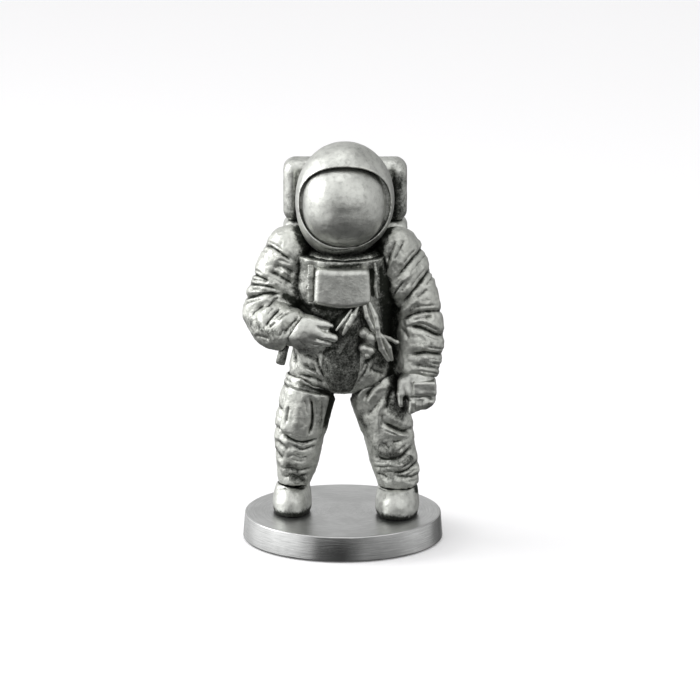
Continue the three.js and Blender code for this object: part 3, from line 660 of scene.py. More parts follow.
def make_helmet():
    """An egg with a rounded opening cut into its front, and a flat chin."""
    low, high = node_box("helmet_shell")
    clay = Clay(low - [0.5, 0.5, 2.5], high + 0.5, HELMET_VOXEL)
    clay.add(egg(clay, **HELMET))
    opening = dict(OPENING, centre=(OPENING["centre"][0], clay.y, OPENING["centre"][2]))
    clay.carve(np.maximum(egg(clay, **opening) * OPENING["radii"][2], clay.y - OPENING_BACK), 0.35)
    clay.carve(clay.z - CHIN_BOTTOM, 0.4)
    add_clay("helmet", clay, "burnished_pewter", HELMET_FOLDS, lumps=0.016, hold=0.5, node="helmet_shell")


VISOR_CENTRE = np.array([0.2, -2.8, 70])
VISOR_RADII = np.array([8.5, 9.4, 8.8])
VISOR_CROWN = 2.45
VISOR_CHIN = 2.3
VISOR_BACK = -4.0


def make_visor():
    """A dome, fuller at the top than at the chin, flat behind where it meets its seat."""
    rings, sides = 110, 144
    tilt = np.linspace(-1, 1, rings + 1)[1:-1] * math.pi / 2
    turn = np.linspace(0, 2 * math.pi, sides, endpoint=False)
    height = np.sin(tilt)[:, None]
    power = np.where(height > 0, VISOR_CROWN, VISOR_CHIN)
    around = (1 - np.abs(height) ** power) ** (1 / power)
    grid = np.stack(np.broadcast_arrays(around * np.cos(turn), around * np.sin(turn), height), -1)
    tips = [VISOR_CENTRE - [0, 0, VISOR_RADII[2]], VISOR_CENTRE + [0, 0, VISOR_RADII[2]]]
    points = np.vstack([VISOR_CENTRE + VISOR_RADII * grid.reshape(-1, 3), *tips])
    points[:, 1] = np.minimum(points[:, 1], VISOR_BACK)
    hammered = 0.03 * value_noise(points, 1.6, 8) + 0.014 * value_noise(points, 0.6, 9)
    points += hammered[:, None] * TO_VIEWER
    add_rings("visor_dome", points, rings - 1, sides, "burnished_pewter", ["visor"], hold=0.3)


def add_rings(name, points, rings, sides, slot, nodes, hold=1.0):
    """A piece made of rings of points round an axis, from below, then the tip below and the tip above."""
    row, side = np.meshgrid(np.arange(rings - 1), np.arange(sides), indexing="ij")
    here, following = row * sides + side, row * sides + (side + 1) % sides
    quads = np.stack([here, following, following + sides, here + sides], -1).reshape(-1, 4)
    below, above = len(points) - 2, len(points) - 1
    first = range(sides)
    last = range((rings - 1) * sides, rings * sides)
    caps = [(below, b, a) for a, b in zip(first, [*first[1:], first[0]])]
    caps += [(above, a, b) for a, b in zip(last, [*last[1:], last[0]])]
    add_piece(name, points, quads, slot, nodes, hold=hold, caps=caps)


# -------- gloves and boots


def make_right_glove():
    """A closed hand that holds the chest hose: palm, thumb and four curled fingers."""
    clay = clay_for("right_glove", 1)
    palm = [at(-10.2, 41.2, -7.2), at(-7.4, 41, -9.2), at(-4.9, 41.2, -10.3)]
    clay.add(clay.roll(palm, [3.1, 3.3, 2.4], 1.2))
    clay.add(clay.roll([at(-7.4, 39.6, -9.2), at(-4.8, 39.4, -10.7)], [2.7, 1.9]), 0.8)
    thumb = [at(-6, 42.4, -10.4), at(-3.4, 42.3, -11.6), at(-2.4, 42.1, -11.8)]
    clay.add(clay.roll(thumb, [1.6, 0.9, 0.6], 0.3), 0.9)
    fingers = [
        ([at(-6, 41, -11.2), at(-3.3, 40.1, -12.3), at(-1.8, 39.7, -12.2)], [1.5, 1.1, 0.85]),
        ([at(-6.8, 39.5, -11.2), at(-4.4, 38.9, -12), at(-2.9, 38.6, -11.8)], [1.2, 0.85, 0.7]),
        ([at(-7.5, 38.3, -10.6), at(-5.3, 37.9, -11.3), at(-4.1, 37.8, -11.1)], [1.0, 0.7, 0.6]),
        ([at(-8.2, 37.3, -9.9), at(-6.2, 37.1, -10.6), at(-5.2, 37.1, -10.4)], [0.85, 0.6, 0.5]),
    ]
    for points, radii in fingers:
        clay.add(clay.roll(points, radii, 0.3), 0.5)
    clay.carve(beyond_cuff(clay) + 0.4)
    # The dark strokes by the thumb and under the fingers are painted shade with patina.
    folds = [
        crease(0.3, 0.22, (-5.4, 42.1), (-4.2, 41.5), (-2.8, 40.8)),
        crease(0.35, 0.2, (-5.6, 39.8), (-4.2, 39.2), (-2.4, 38.9)),
        crease(0.35, 0.2, (-7, 38.5), (-5.6, 38.2), (-3.6, 38.1)),
        crease(0.35, 0.2, (-8.2, 37.5), (-6.6, 37.4), (-4.8, 37.3)),
        crease(0.2, 0.3, (-9.2, 39.6), (-8.2, 38.6), (-7, 37.8)),
        shade_and_patina(1.0, 0.5, (-2.7, 41.7), (-1.9, 41.1)),
        shade_and_patina(0.5, 0.9, (-9.6, 38), (-7.4, 37), (-5, 36.6)),
    ]
    add_clay("right_glove", clay, "burnished_pewter", folds, lumps=0.03)


def make_left_glove():
    """A fist seen from the back of the hand, with a knuckle guard across it and one mass of fingers."""
    clay = clay_for("left_glove", 1)
    palm = [at(14.8, 31.6, -3), at(15.4, 29.4, -3.6), at(15.9, 28, -3.6)]
    clay.add(clay.roll(palm, [3.4, 3.2, 2.7], 1))
    guard_z = at(0, 29.5, -6.6)[2]
    clay.add(clay.block((14, -6.9, guard_z - 1.45), (18.6, -3, guard_z + 1.45), 0.35), 0.15)
    finger_z = at(0, 26, -5.8)[2]
    fingers = clay.block((12.9, -6.6, finger_z - 1.9), (18.5, -2.4, finger_z + 1.9), 1.0)
    slope = (clay.x - 13.4) * -0.48 + (clay.z - finger_z + 1.6)
    clay.add(np.maximum(fingers, -slope), 0.25)
    thumb = [at(12.3, 30.8, -4), at(11.7, 28.6, -5), at(11.7, 26.6, -5.4)]
    clay.add(clay.roll(thumb, [1.5, 0.95, 0.7], 0.4), 0.6)
    # The dark strokes beside the thumb and under the fingers are painted shade with patina.
    folds = [
        shade_and_patina(1.0, 0.5, (12.6, 28.2), (12.5, 27), (12.7, 25.6), (13, 24.6)),
        crease(0.45, 0.3, (12.6, 28.4), (12.5, 27), (12.6, 25.2)),
        crease(0.35, 0.25, (12.9, 27.9), (14.6, 27.7), (16.6, 27.8), (19.2, 28.1)),
        crease(0.25, 0.2, (13.8, 31), (13.8, 29.6), (13.9, 28)),
        crease(0.12, 0.25, (14.6, 27.4), (14.5, 26), (14.6, 24.6)),
        crease(0.12, 0.25, (16, 27.4), (15.9, 26.2), (16, 25)),
        crease(0.12, 0.25, (17.3, 27.4), (17.2, 26.6), (17.3, 25.6)),
        ridge(0.15, 0.4, (13.6, 26.8), (15.6, 26.2), (18.2, 27.2)),
        shade_and_patina(0.4, 0.6, (14, 24.7), (16, 25.2), (18.2, 26.4)),
    ]
    add_clay("left_glove", clay, "burnished_pewter", folds, lumps=0.03)


# Each boot: the middle and radii of its foot, the shaft's place (x, y) and its radius.
BOOTS = {
    "right_boot": ((-10.3, -0.4, 7.2), (3.75, 5.6, 4.6), (-9.9, 0.7), 3.35),
    "left_boot": ((10.8, -2.4, 7.3), (4.15, 6.0, 4.8), (11, -1.2), 4),
}
# The dark strokes round the ankles are painted shade with patina.
BOOT_FOLDS = {
    "right_boot": [
        crease(
            0.5, 0.34,
            (-13.2, 10.6), (-11.8, 11), (-10.6, 10.4), (-9.2, 10.1), (-8, 9.8), (-6.4, 10.2),
        ),
        shade_and_patina(0.9, 0.6, (-12, 11.3), (-10.4, 10.8), (-8.4, 10.2), (-6.8, 10.3)),
    ],
    "left_boot": [
        crease(0.5, 0.34, (6.8, 10.8), (8, 10.6), (9.4, 10.2), (11, 10.5), (12.4, 10.1), (14.4, 10.6)),
        shade_and_patina(0.9, 0.4, (7.4, 10.8), (9, 10.4), (11, 10.6), (13, 10.4)),
        shade_and_patina(1.0, 0.5, (14.5, 11), (14.7, 9.6), (14.8, 8.4)),
    ],
}


def make_boots():
    """Each boot is a round foot and a shaft, cut flat at the sole and at the ankle."""
    for name, (foot, radii, shaft, shaft_radius) in BOOTS.items():
        low, high = node_box(name)
        clay = Clay(low - [0.6, 0.6, 0.3], high + [0.6, 0.6, 0.4])
        clay.add(clay.ball(foot, radii))
        bottom, top = (*shaft, low[2] + 2), (*shaft, high[2] + 2)
        clay.add(clay.stick(bottom, top, shaft_radius, shaft_radius), 1.4)
        clay.carve(clay.z - low[2], 0.45)
        clay.carve(high[2] - clay.z, 0.5)
        add_clay(name, clay, "burnished_pewter", BOOT_FOLDS[name], lumps=0.03)


# -------- fittings


CHEST_UNIT_HALF_WIDTH = 5.7


def make_chest_unit():
    """A box with a crowned face, wider and bowed at the bottom, which leans back a little."""
    low, high = node_box("chest_unit")
    clay, bent = clay_for("chest_unit", 1.2), clay_for("chest_unit", 1.2)
    half = CHEST_UNIT_HALF_WIDTH
    across = (clay.x - (low[0] + high[0]) / 2) / half
    share = (clay.z - low[2]) / (high[2] - low[2])
    bent.x = across / (1.01 - 0.07 * share) * half
    bent.y = clay.y - 0.8 * across**2 - 0.6 * share
    bent.z = clay.z + 0.7 * (1 - across**2) * (1 - share)
    clay.add(bent.block((-half, low[1], low[2]), (half, high[1] + 2, high[2] + 0.35), 1.0))
    add_clay("chest_unit", clay, "burnished_pewter", lumps=0.014, hold=0.4)


BACK_PANEL_INSET = 2.6
BACK_PANEL_DEPTH = 0.4


def carve_back_panel(clay, low, high, bottom, top):
    """Sinks a flat panel into the back of a pack, between the two heights."""
    corner = (low[0] + BACK_PANEL_INSET, high[1] - BACK_PANEL_DEPTH, bottom)
    clay.carve(clay.block(corner, (high[0] - BACK_PANEL_INSET, high[1] + 3, top), 0.4), 0.3)


def make_backpack_top_unit():
    """A rounded box with two upright grooves in its front and a sunk panel in its back."""
    low, high = node_box("backpack_top_unit")
    low[2] -= 0.7
    clay = Clay(low - 0.5, high + 0.5, SUIT_VOXEL)
    clay.add(clay.block(low, high, 2.4))
    middle = (low[0] + high[0]) / 2
    for x in (middle - 9.2, middle + 9.2):
        front = low[1] - 0.3
        clay.carve(clay.stick((x, front, low[2] - 1), (x, front, high[2] - 2.4), 0.9, 0.7), 0.8)
    carve_back_panel(clay, low, high, low[2] + BACK_PANEL_INSET, high[2] - BACK_PANEL_INSET)
    # The dark strokes down the pack's sides are painted shade with patina.
    folds = [
        shade_and_patina(0.75, 1.7, (10.6, 73.4), (10.8, 69), (10.7, 63)),
        shade_and_patina(0.4, 1.0, (-9.8, 70), (-10, 66), (-9.8, 62)),
    ]
    add_clay("backpack_top_unit", clay, "burnished_pewter", folds, patina_and_shade=0.08, lumps=0.02)


def make_backpack_main():
    """A rounded box with two sunk panels in its back."""
    low, high = node_box("backpack_main")
    clay = clay_for("backpack_main", 0.5, SUIT_VOXEL)
    clay.add(clay.block(low, high, 2))
    middle = low[2] + 0.42 * (high[2] - low[2])
    for bottom, top in [(low[2] + 2.4, middle - 0.6), (middle + 0.6, high[2] - 2.4)]:
        carve_back_panel(clay, low, high, bottom, top)
    add_clay("backpack_main", clay, "burnished_pewter", lumps=0.02)


def make_hoses():
    """The flat hose to the right hand, the two twisted hoses to the left hip, and the stub behind them."""
    clay = clay_for("right_chest_hose", 1.6)
    leaf = [at(3.1, 46.2, -9.2), at(2.2, 44.3, -10.2), at(1.1, 42.4, -10.8), at(0, 40.5, -11.2)]
    clay.add(clay.roll(leaf, [0.32, 0.6, 0.58, 0.34], 0.3))
    edge = [at(1.7, 45.4, -9.8), at(0.3, 43.3, -10.6), at(-1.3, 41.3, -11.3)]
    clay.add(clay.roll(edge, [0.26, 0.3, 0.26], 0.2), 0.1)
    add_clay("right_chest_hose", clay, "cast_pewter", lumps=0.02)

    inner = [
        at(4.3, 46.6, -9.4), at(4.8, 44, -9.7), at(6, 41.7, -9.7), at(7.8, 39.9, -9.2), at(9.1, 37.8, -8.2),
        at(9.7, 35.5, -7),
    ]
    outer = [
        at(5.3, 46.7, -9.2), at(6.5, 44, -9.6), at(6.9, 41.9, -10), at(7.1, 39.9, -9.9), at(7.8, 37.6, -8.9),
        at(9.1, 35.4, -7.4),
    ]
    for name, points in (("left_hose_inner", inner), ("left_hose_outer", outer)):
        clay = clay_for(name, 1.8)
        clay.add(clay.roll(points, [0.42, 0.55, 0.5, 0.5, 0.6, 0.42], 0.3))
        add_clay(name, clay, "cast_pewter", lumps=0.02)

    clay = clay_for("left_hose_branch", 1)
    stub = [at(8.1, 40.1, -8.8), at(9.3, 39.6, -7.8), at(10.4, 39, -6.8)]
    clay.add(clay.roll(stub, [0.35, 0.42, 0.42], 0.2))
    clay.add(clay.ball(at(10.7, 38.9, -6.5), (0.62, 0.6, 0.5)), 0.15)
    add_clay("left_hose_branch", clay, "cast_pewter", lumps=0.02)


def make_connectors():
    """Two short valve stubs below the chest unit: one points across, and one has a second, smaller outlet."""
    clay = clay_for("connector_upper", 1.5)
    clay.add(clay.ball(at(4.1, 40.8, -8.4), (1.15, 1.2, 1.1)))
    clay.add(clay.stick(at(4.2, 40.8, -8.4), at(5.8, 39.7, -8.8), 0.75, 0.8), 0.2)
    clay.add(clay.stick(at(5.5, 39.9, -8.8), at(5.8, 39.7, -8.9), 1.05, 1.05), 0.1)
    add_clay("connector_upper", clay, "cast_pewter", lumps=0.04, hold=0.5)

    clay = clay_for("connector_lower", 1.5)
    clay.add(clay.ball(at(4.2, 37.7, -8.2), (1.15, 1.2, 1.05)))
    clay.add(clay.stick(at(4.4, 37.6, -8.2), at(5.6, 37.2, -8.5), 0.85, 0.8), 0.2)
    clay.add(clay.stick(at(4.4, 37.4, -8.2), at(4.9, 36.2, -8.6), 0.6, 0.6), 0.2)
    add_clay("connector_lower", clay, "cast_pewter", lumps=0.05, hold=0.5)


def make_straps():
    """Two harness straps: each is a round roll of clay that is then stretched sideways into a flat band."""
    wide = [at(-6.4, 54.2, -6.6), at(-6.4, 52, -7.1), at(-6.4, 49.6, -7.3), at(-6.4, 47.2, -7.2)]
    thin = [at(6.35, 54.6, -6.7), at(6.7, 52.4, -7.15), at(6.45, 50, -7.3), at(6.8, 47.8, -7.2)]
    straps = {"right_strap": (wide, 2.2, 0.3, 0.25), "left_strap": (thin, 1.2, 0.27, 0.3)}
    for name, (band, flat, radius, patina_and_shade) in straps.items():
        clay = clay_for(name, 1)
        clay.x = clay.x / flat
        for point in band:
            point[0] /= flat
        clay.add(clay.roll(band, [radius] * len(band), 0.3))
        add_clay(name, clay, "cast_pewter", lumps=0.02, patina_and_shade=patina_and_shade, hold=0.6)


def make_thigh_pocket():
    """The pouch on the right thigh, from its CAD solid."""
    clay = cad_clay("thigh_pocket", FINE_VOXEL, 0.32, 0.1)
    # The dark stroke along the pocket's inner edge is painted shade with patina.
    folds = [
        crease(0.8, 0.34, (-6.9, 28.2), (-6.2, 26.4), (-5.9, 24.2), (-6.1, 22), (-7, 19.8)),
        crease(0.4, 0.22, (-10.8, 26.2), (-11.2, 24.6), (-11.5, 22.6)),
        ridge(0.3, 0.9, (-9, 27), (-9, 24), (-9.4, 21.6)),
        crease(0.3, 0.3, (-4.4, 28), (-4, 24.4), (-4.4, 20.6)),
        shade_and_patina(0.4, 0.8, (-4.6, 27.6), (-4.5, 24.4), (-4.8, 21)),
    ]
    add_clay("thigh_pocket", clay, "cast_pewter", folds, lumps=0.04)


def make_hip_rod():
    """A short rod that hangs at the hip, cut square at its lower end."""
    clay = clay_for("hip_rod", 1)
    top, end = at(-11.5, 38.8, -4), at(-12.6, 34.5, -4.4)
    clay.add(clay.stick(top, end, 0.92, 0.98))
    direction = (end - top) / np.linalg.norm(end - top)
    beyond = sum((a - e) * d for a, e, d in zip((clay.x, clay.y, clay.z), end, direction))
    clay.carve(-beyond, 0.25)
    add_clay("hip_rod", clay, "cast_pewter", lumps=0.03, patina_and_shade=0.5)


BELLY_COVER_BOTTOM = 31.1


def make_belly_cover():
    """A rounded cover that tapers up to the chest unit."""
    clay = cad_clay("belly_cover", FINE_VOXEL, 0.35, 0.12, headroom=4.5)
    clay.carve(clay.z - BELLY_COVER_BOTTOM, 1.2)
    folds = [
        ridge(0.3, 0.3, (1.5, 40.4), (0.7, 39), (0, 37.8), (-0.7, 36.4)),
        crease(0.2, 0.4, (-4.6, 36.6), (-2.6, 37.6), (-0.6, 37.8)),
    ]
    top = [at(-0.2, 38.4, -6.1), at(1.1, 42.2, -7.6), at(2.2, 44.8, -8.5)]
    clay.add(clay.roll(top, [3.6, 2.5, 1.2], 0.6), 1.4)
    add_clay("belly_cover", clay, "cast_pewter", folds, lumps=0.05, patina_and_shade=0.62)


def make_neck_ring():
    """A soft rolled collar round a flat core, which the helmet sits on."""
    inset, roll_radius, core_height = 0.7, 1.25, 1.2
    low, high = node_box("neck_ring")
    low, high = low + [inset, inset, 0], high - [inset, inset, 0]
    clay = Clay(low - 1, high + 1)
    middle, reach = (low + high) / 2, (high - low) / 2
    turns = np.linspace(0, 2 * math.pi, 17)
    ring = [middle + (reach - roll_radius) * [math.cos(turn), math.sin(turn), 0] for turn in turns]
    clay.add(clay.roll(ring, [roll_radius] * len(ring), 0.3))
    clay.add(clay.ball(middle, (reach[0] - 1, reach[1] - 1, core_height)), 0.4)
    add_clay("neck_ring", clay, "cast_pewter", lumps=0.05, patina_and_shade=0.2, hold=0.75)


# -------- base


def turned(name, profile, slot, nodes, sides=320):
    """A solid of revolution from [radius, height] points that run from the axis below to the axis above."""
    profile = np.array(profile, float)
    turn = np.linspace(0, 2 * math.pi, sides, endpoint=False)
    rings = [np.stack([r * np.cos(turn), r * np.sin(turn), np.full(sides, z)], 1) for r, z in profile[1:-1]]
    ends = [[0, 0, profile[0][1]], [0, 0, profile[-1][1]]]
    points = np.vstack([*rings, ends])
    add_rings(name, points, len(rings), sides, slot, nodes)


def rounded_corner(radius, height, edge, start, steps=7):
    """Points round a turned edge, from angle start through a quarter turn."""
    angles = np.radians(start) + np.linspace(0, math.pi / 2, steps)
    return [(radius + edge * math.cos(a), height + edge * math.sin(a)) for a in angles]


def make_base():
    """The turned base, hollow underneath where its pad sits, and the pad."""
    low, high = node_box("base")
    _, pad_high = node_box("base_pad")
    outer, top, pad_top, pad_edge = high[0], high[2], pad_high[2], pad_high[0]
    inner = pad_edge + 0.3
    edge, corner, draft = 0.3, 0.1, 0.35
    profile = [(0, pad_top), (inner - corner, pad_top), (inner, pad_top - corner)]
    profile += [(inner, low[2] + corner), (inner + corner, low[2]), (outer - 2 * edge, low[2])]
    profile += rounded_corner(outer - edge, low[2] + edge, edge, -90)
    profile += rounded_corner(outer - draft - edge, top - edge, edge, 0)
    profile += [(r, top) for r in (outer - 0.9, 16, 12, 8, 4, 1.5)] + [(0, top)]
    turned("turned_base", profile, "turned_pewter", ["base"])
    profile = [(0, 0), (pad_edge - 0.15, 0), (pad_edge, 0.15), (pad_edge, pad_top - corner)]
    profile += [(pad_edge - corner, pad_top), (0, pad_top)]
    turned("felt_pad", profile, "pad_felt", ["base_pad"], sides=128)


# -------- patina and painted shade


def sampled(volume, low, voxel, points):
    """The volume's values at points in mm, between its grid points."""
    place = ((points - low) / voxel).clip(0, np.array(volume.shape) - 1.001)
    cell = place.astype(int)
    part = place - cell
    total = np.zeros(len(points))
    for corner in np.ndindex(2, 2, 2):
        index = cell + corner
        weight = np.prod(np.where(corner, part, 1 - part), axis=1)
        total += weight * volume[index[:, 0], index[:, 1], index[:, 2]]
    return total


def darken_recesses():
    """Writes each point's share of dark colour, patina with painted shade: more the deeper the point lies
    among its surroundings.
    """
    voxel, near_reach, wide_blur, wide_reach = 0.5, 0.9, 2.4, 2.2
    everything = np.vstack([piece["points"] for piece in pieces.values()])
    low = everything.min(0) - 4
    shape = tuple(int(n) for n in np.ceil((everything.max(0) + 4 - low) / voxel))
    filled = np.zeros(shape, np.float32)
    for piece in pieces.values():
        grid = openvdb.FloatGrid.createLevelSetFromPolygons(
            ((piece["points"] - low) / voxel).astype(np.float32),
            quads=piece["quads"].astype(np.uint32),
            transform=openvdb.createLinearTransform(voxelSize=1.0),
            halfWidth=3,
        )
        values = np.full(shape, 3, np.float32)
        grid.copyToArray(values, ijk=(0, 0, 0))
        filled = np.maximum(filled, (0.5 - values).clip(0, 1))
    near, wide = blurred(filled, near_reach / voxel), blurred(filled, wide_blur / voxel)
    for piece in pieces.values():
        points, quads = piece["points"], piece["quads"]
        normals = normals_of(points, quads)
        smooth = relaxed(points, quads, 12, 0.6)
        hollow = ((smooth - points) * normals).sum(1)
        crowded = sampled(near, low, voxel, points + near_reach * normals)
        sunk = sampled(wide, low, voxel, points + wide_reach * normals)
        patina_and_shade = np.maximum(piece["tone"], smoothstep(0.04, 0.3, hollow))
        # Painted shade, with patina: the more other parts crowd round a point, the darker it gets, as where
        # shade falls between them.
        recess = (1 - 0.7 * smoothstep(0.28, 0.66, crowded)) * (1 - 0.8 * smoothstep(0.26, 0.54, sunk))
        patina_and_shade = 1 - (1 - patina_and_shade) * (1 - piece["hold"] * (1 - recess))
        patina_and_shade = 1 - (1 - patina_and_shade) * (1 - piece["patina_and_shade"])
        worn = smoothstep(0.02, 0.16, -hollow)
        for label, values in (("patina_and_shade", patina_and_shade), ("worn", worn)):
            layer = piece["object"].data.attributes.new(label, "FLOAT", "POINT")
            layer.data.foreach_set("value", values.astype(np.float32))


# -------- materials


def feed(tree, socket, value):
    """Links the value to the socket if it is another node's output, and sets it otherwise."""
    if isinstance(value, bpy.types.NodeSocket):
        tree.links.new(value, socket)
    else:
        socket.default_value = value


class Nodes:
    """A short way to build a material's node tree."""

    def __init__(self, name):
        self.material = bpy.data.materials.new(name)
        self.material.use_nodes = True
        self.tree = self.material.node_tree
        self.shader = self.tree.nodes["Principled BSDF"]

    def add(self, kind, inputs=None, **settings):
        node = self.tree.nodes.new(kind)
        for key, value in settings.items():
            setattr(node, key, value)
        for key, value in (inputs or {}).items():
            feed(self.tree, node.inputs[key], value)
        return node

    def math(self, operation, *values):
        return self.add("ShaderNodeMath", dict(enumerate(values)), operation=operation).outputs[0]

    def noise(self, scale, detail=3.0, vector=None, roughness=0.55):
        vector = vector or self.add("ShaderNodeTexCoord").outputs["Object"]
        inputs = {"Vector": vector, "Scale": scale, "Detail": detail, "Roughness": roughness}
        return self.add("ShaderNodeTexNoise", inputs).outputs["Fac"]

    def blend(self, share, first, second):
        node = self.add("ShaderNodeMix", data_type="RGBA")
        for index, value in ((0, share), (6, first), (7, second)):
            feed(self.tree, node.inputs[index], value)
        return node.outputs[2]

    def ramp(self, value, low, high, to_low=0.0, to_high=1.0):
        inputs = {"Value": value, "From Min": low, "From Max": high, "To Min": to_low, "To Max": to_high}
        return self.add("ShaderNodeMapRange", inputs, interpolation_type="SMOOTHSTEP").outputs[0]

    def shade(self, **sockets):
        for key, value in sockets.items():
            feed(self.tree, self.shader.inputs[key.replace("_", " ")], value)
        return self.material


def pewter(name, bright, dark, roughness, grain):
    """Antiqued pewter: dark patina, with painted shade, in the recesses, rubbed back to bright metal where
    the form is proud.
    """
    n = Nodes(name)
    # The dark share of each point: patina, with painted shade between parts and along the dark strokes.
    patina_and_shade = n.add("ShaderNodeAttribute", attribute_name="patina_and_shade").outputs["Fac"]
    worn = n.add("ShaderNodeAttribute", attribute_name="worn").outputs["Fac"]
    blotches = n.noise(750, 5.0, roughness=0.6)
    specks = n.noise(2700, 3.0, roughness=0.65)
    ragged = n.math("MULTIPLY_ADD", n.math("SUBTRACT", blotches, 0.5), 0.85, patina_and_shade)
    ragged = n.math("MULTIPLY_ADD", n.math("SUBTRACT", specks, 0.5), 0.9, ragged)
    cover = n.ramp(ragged, 0.0, 0.88)
    rubbed = n.math("MULTIPLY", cover, n.math("MULTIPLY_ADD", worn, -0.45, 1.0))
    tint = n.blend(n.ramp(blotches, 0.35, 0.7), (*bright, 1), (*[0.8 * c for c in bright], 1))
    colour = n.blend(rubbed, tint, (*dark, 1))
    rough = n.math("MULTIPLY_ADD", rubbed, 0.22, roughness)
    rough = n.math("MULTIPLY_ADD", n.math("SUBTRACT", specks, 0.5), 0.16, rough)
    pits = n.math("ADD", blotches, specks)
    bump = n.add("ShaderNodeBump", {"Height": pits, "Strength": grain, "Distance": 0.0001})
    return n.shade(Base_Color=colour, Metallic=1.0, Roughness=rough, Normal=bump.outputs[0])


MARKS_PER_METRE = 5200.0
MARKS_PER_RADIAN = 5.0
TOP_EDGE = (0.00505, 0.00525)


def brushed_pewter():
    """Turned pewter: fine concentric marks on the top, and marks that run round the wall."""
    n = Nodes("turned pewter")
    place = n.add("ShaderNodeSeparateXYZ", {0: n.add("ShaderNodeTexCoord").outputs["Object"]}).outputs
    squares = [n.math("MULTIPLY", place[i], place[i]) for i in (0, 1)]
    radius = n.math("SQRT", n.math("ADD", *squares))
    turn = n.math("ARCTAN2", place[1], place[0])
    stretched = {
        0: n.math("MULTIPLY", radius, MARKS_PER_METRE),
        1: n.math("MULTIPLY", turn, MARKS_PER_RADIAN),
        2: n.math("MULTIPLY", place[2], MARKS_PER_METRE),
    }
    lines = n.noise(1.0, 2.0, n.add("ShaderNodeCombineXYZ", stretched).outputs[0])
    cloud = n.noise(160, 3.0)
    streaks = n.math("MULTIPLY_ADD", n.math("SUBTRACT", lines, 0.5), 0.9, cloud)
    colour = n.blend(n.ramp(streaks, 0.25, 0.75), (0.6, 0.605, 0.6, 1), (0.47, 0.475, 0.47, 1))
    on_top = n.ramp(place[2], *TOP_EDGE, 0.13, 0.27)
    rough = n.math("MULTIPLY_ADD", lines, 0.12, on_top)
    bump = n.add("ShaderNodeBump", {"Height": lines, "Strength": 0.6, "Distance": 0.00004})
    return n.shade(Base_Color=colour, Metallic=1.0, Roughness=rough, Normal=bump.outputs[0])


def felt():
    """The pad's black felt."""
    n = Nodes("felt")
    fibres = n.noise(2600, 6.0, roughness=0.7)
    colour = n.blend(fibres, (0.008, 0.009, 0.01, 1), (0.035, 0.036, 0.04, 1))
    bump = n.add("ShaderNodeBump", {"Height": fibres, "Strength": 0.6, "Distance": 0.0002})
    return n.shade(Base_Color=colour, Roughness=0.95, Sheen_Weight=0.3, Normal=bump.outputs[0])


def steel():
    """The plain steel of the dowels and screws inside."""
    n = Nodes("steel")
    marks = n.noise(1500, 3.0)
    colour = n.blend(marks, (0.5, 0.5, 0.51, 1), (0.64, 0.64, 0.66, 1))
    return n.shade(Base_Color=colour, Metallic=1.0, Roughness=n.math("MULTIPLY_ADD", marks, 0.2, 0.25))


def paint_pieces():
    """Gives each piece the material of its slot, and the CAD pieces inside plain steel."""
    metals = {
        "cast_pewter": pewter("cast pewter", (0.63, 0.64, 0.6), (0.03, 0.033, 0.027), 0.47, 0.8),
        "burnished_pewter": pewter("burnished pewter", (0.63, 0.64, 0.605), (0.032, 0.035, 0.03), 0.4, 0.5),
        "turned_pewter": brushed_pewter(),
        "pad_felt": felt(),
    }
    for piece in pieces.values():
        piece["object"].data.materials.append(metals[piece["object"]["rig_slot"]])
    inner = steel()
    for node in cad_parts.values():
        for slot in node.material_slots:
            slot.material = inner


# -------- light, floor and camera


# Each softbox: where it stands and what it faces, in metres, its width and height, and its power in watts.
SOFTBOXES = {
    "softbox_left": ((-0.38, 0.05, 0.2), (0, 0, 0.05), (0.24, 0.3), 0.9),
    "softbox_right": ((0.3, -0.4, 0.42), (0.02, 0, 0.05), (0.8, 0.8), 1.3),
    "softbox_top": ((-0.05, 0.02, 0.45), (0, 0, 0.04), (0.3, 0.26), 0.25),
}
FLOOR_REACH = 9.0


def look_along(thing, direction):
    thing.rotation_euler = Vector(direction).to_track_quat("-Z", "Y").to_euler()


def add_light(name, where, aim, size, power):
    lamp = bpy.data.lights.new(name, "AREA")
    lamp.shape = "RECTANGLE"
    lamp.size, lamp.size_y = size
    lamp.energy = power
    thing = bpy.data.objects.new(name, lamp)
    bpy.context.scene.collection.objects.link(thing)
    thing.location = where
    look_along(thing, np.array(aim, float) - where)


def make_floor():
    """A plain pale floor with a faint glow of its own."""
    corners = [(-1, -1), (1, -1), (1, 1), (-1, 1)]
    floor = bpy.data.meshes.new("floor")
    floor.from_pydata([(x * FLOOR_REACH, y * FLOOR_REACH, 0) for x, y in corners], [], [(0, 1, 2, 3)])
    thing = bpy.data.objects.new("floor", floor)
    bpy.context.scene.collection.objects.link(thing)
    n = Nodes("floor")
    glow = {"Emission_Color": (1, 1, 1, 1), "Emission_Strength": 0.1}
    floor.materials.append(n.shade(Base_Color=(0.93, 0.925, 0.935, 1), Roughness=0.9, **glow))
    thing.visible_glossy = False


def make_studio():
    make_floor()
    make_surroundings()
    for name, (where, aim, size, power) in SOFTBOXES.items():
        add_light(name, where, aim, size, power)
    bpy.context.scene.view_settings.view_transform = "Standard"


# What the metal sees round the studio: how bright the walls are at each bearing, in degrees from the front
# towards the figure's left.
WALLS = [
    (-180, 0.6), (-150, 0.85), (-110, 1.35), (-84, 1.55), (-60, 1.35), (-44, 0.85), (-28, 0.12), (0, 0.04),
    (12, 0.17), (26, 0.38), (60, 0.48), (90, 0.85), (116, 0.72), (136, 0.25), (156, 0.14), (180, 0.6),
]
CEILING = [(0, 1.2), (0.18, 1.05), (0.45, 0.74), (0.72, 0.46), (0.85, 0.6), (1, 0.66)]
UNDERNEATH = 0.1


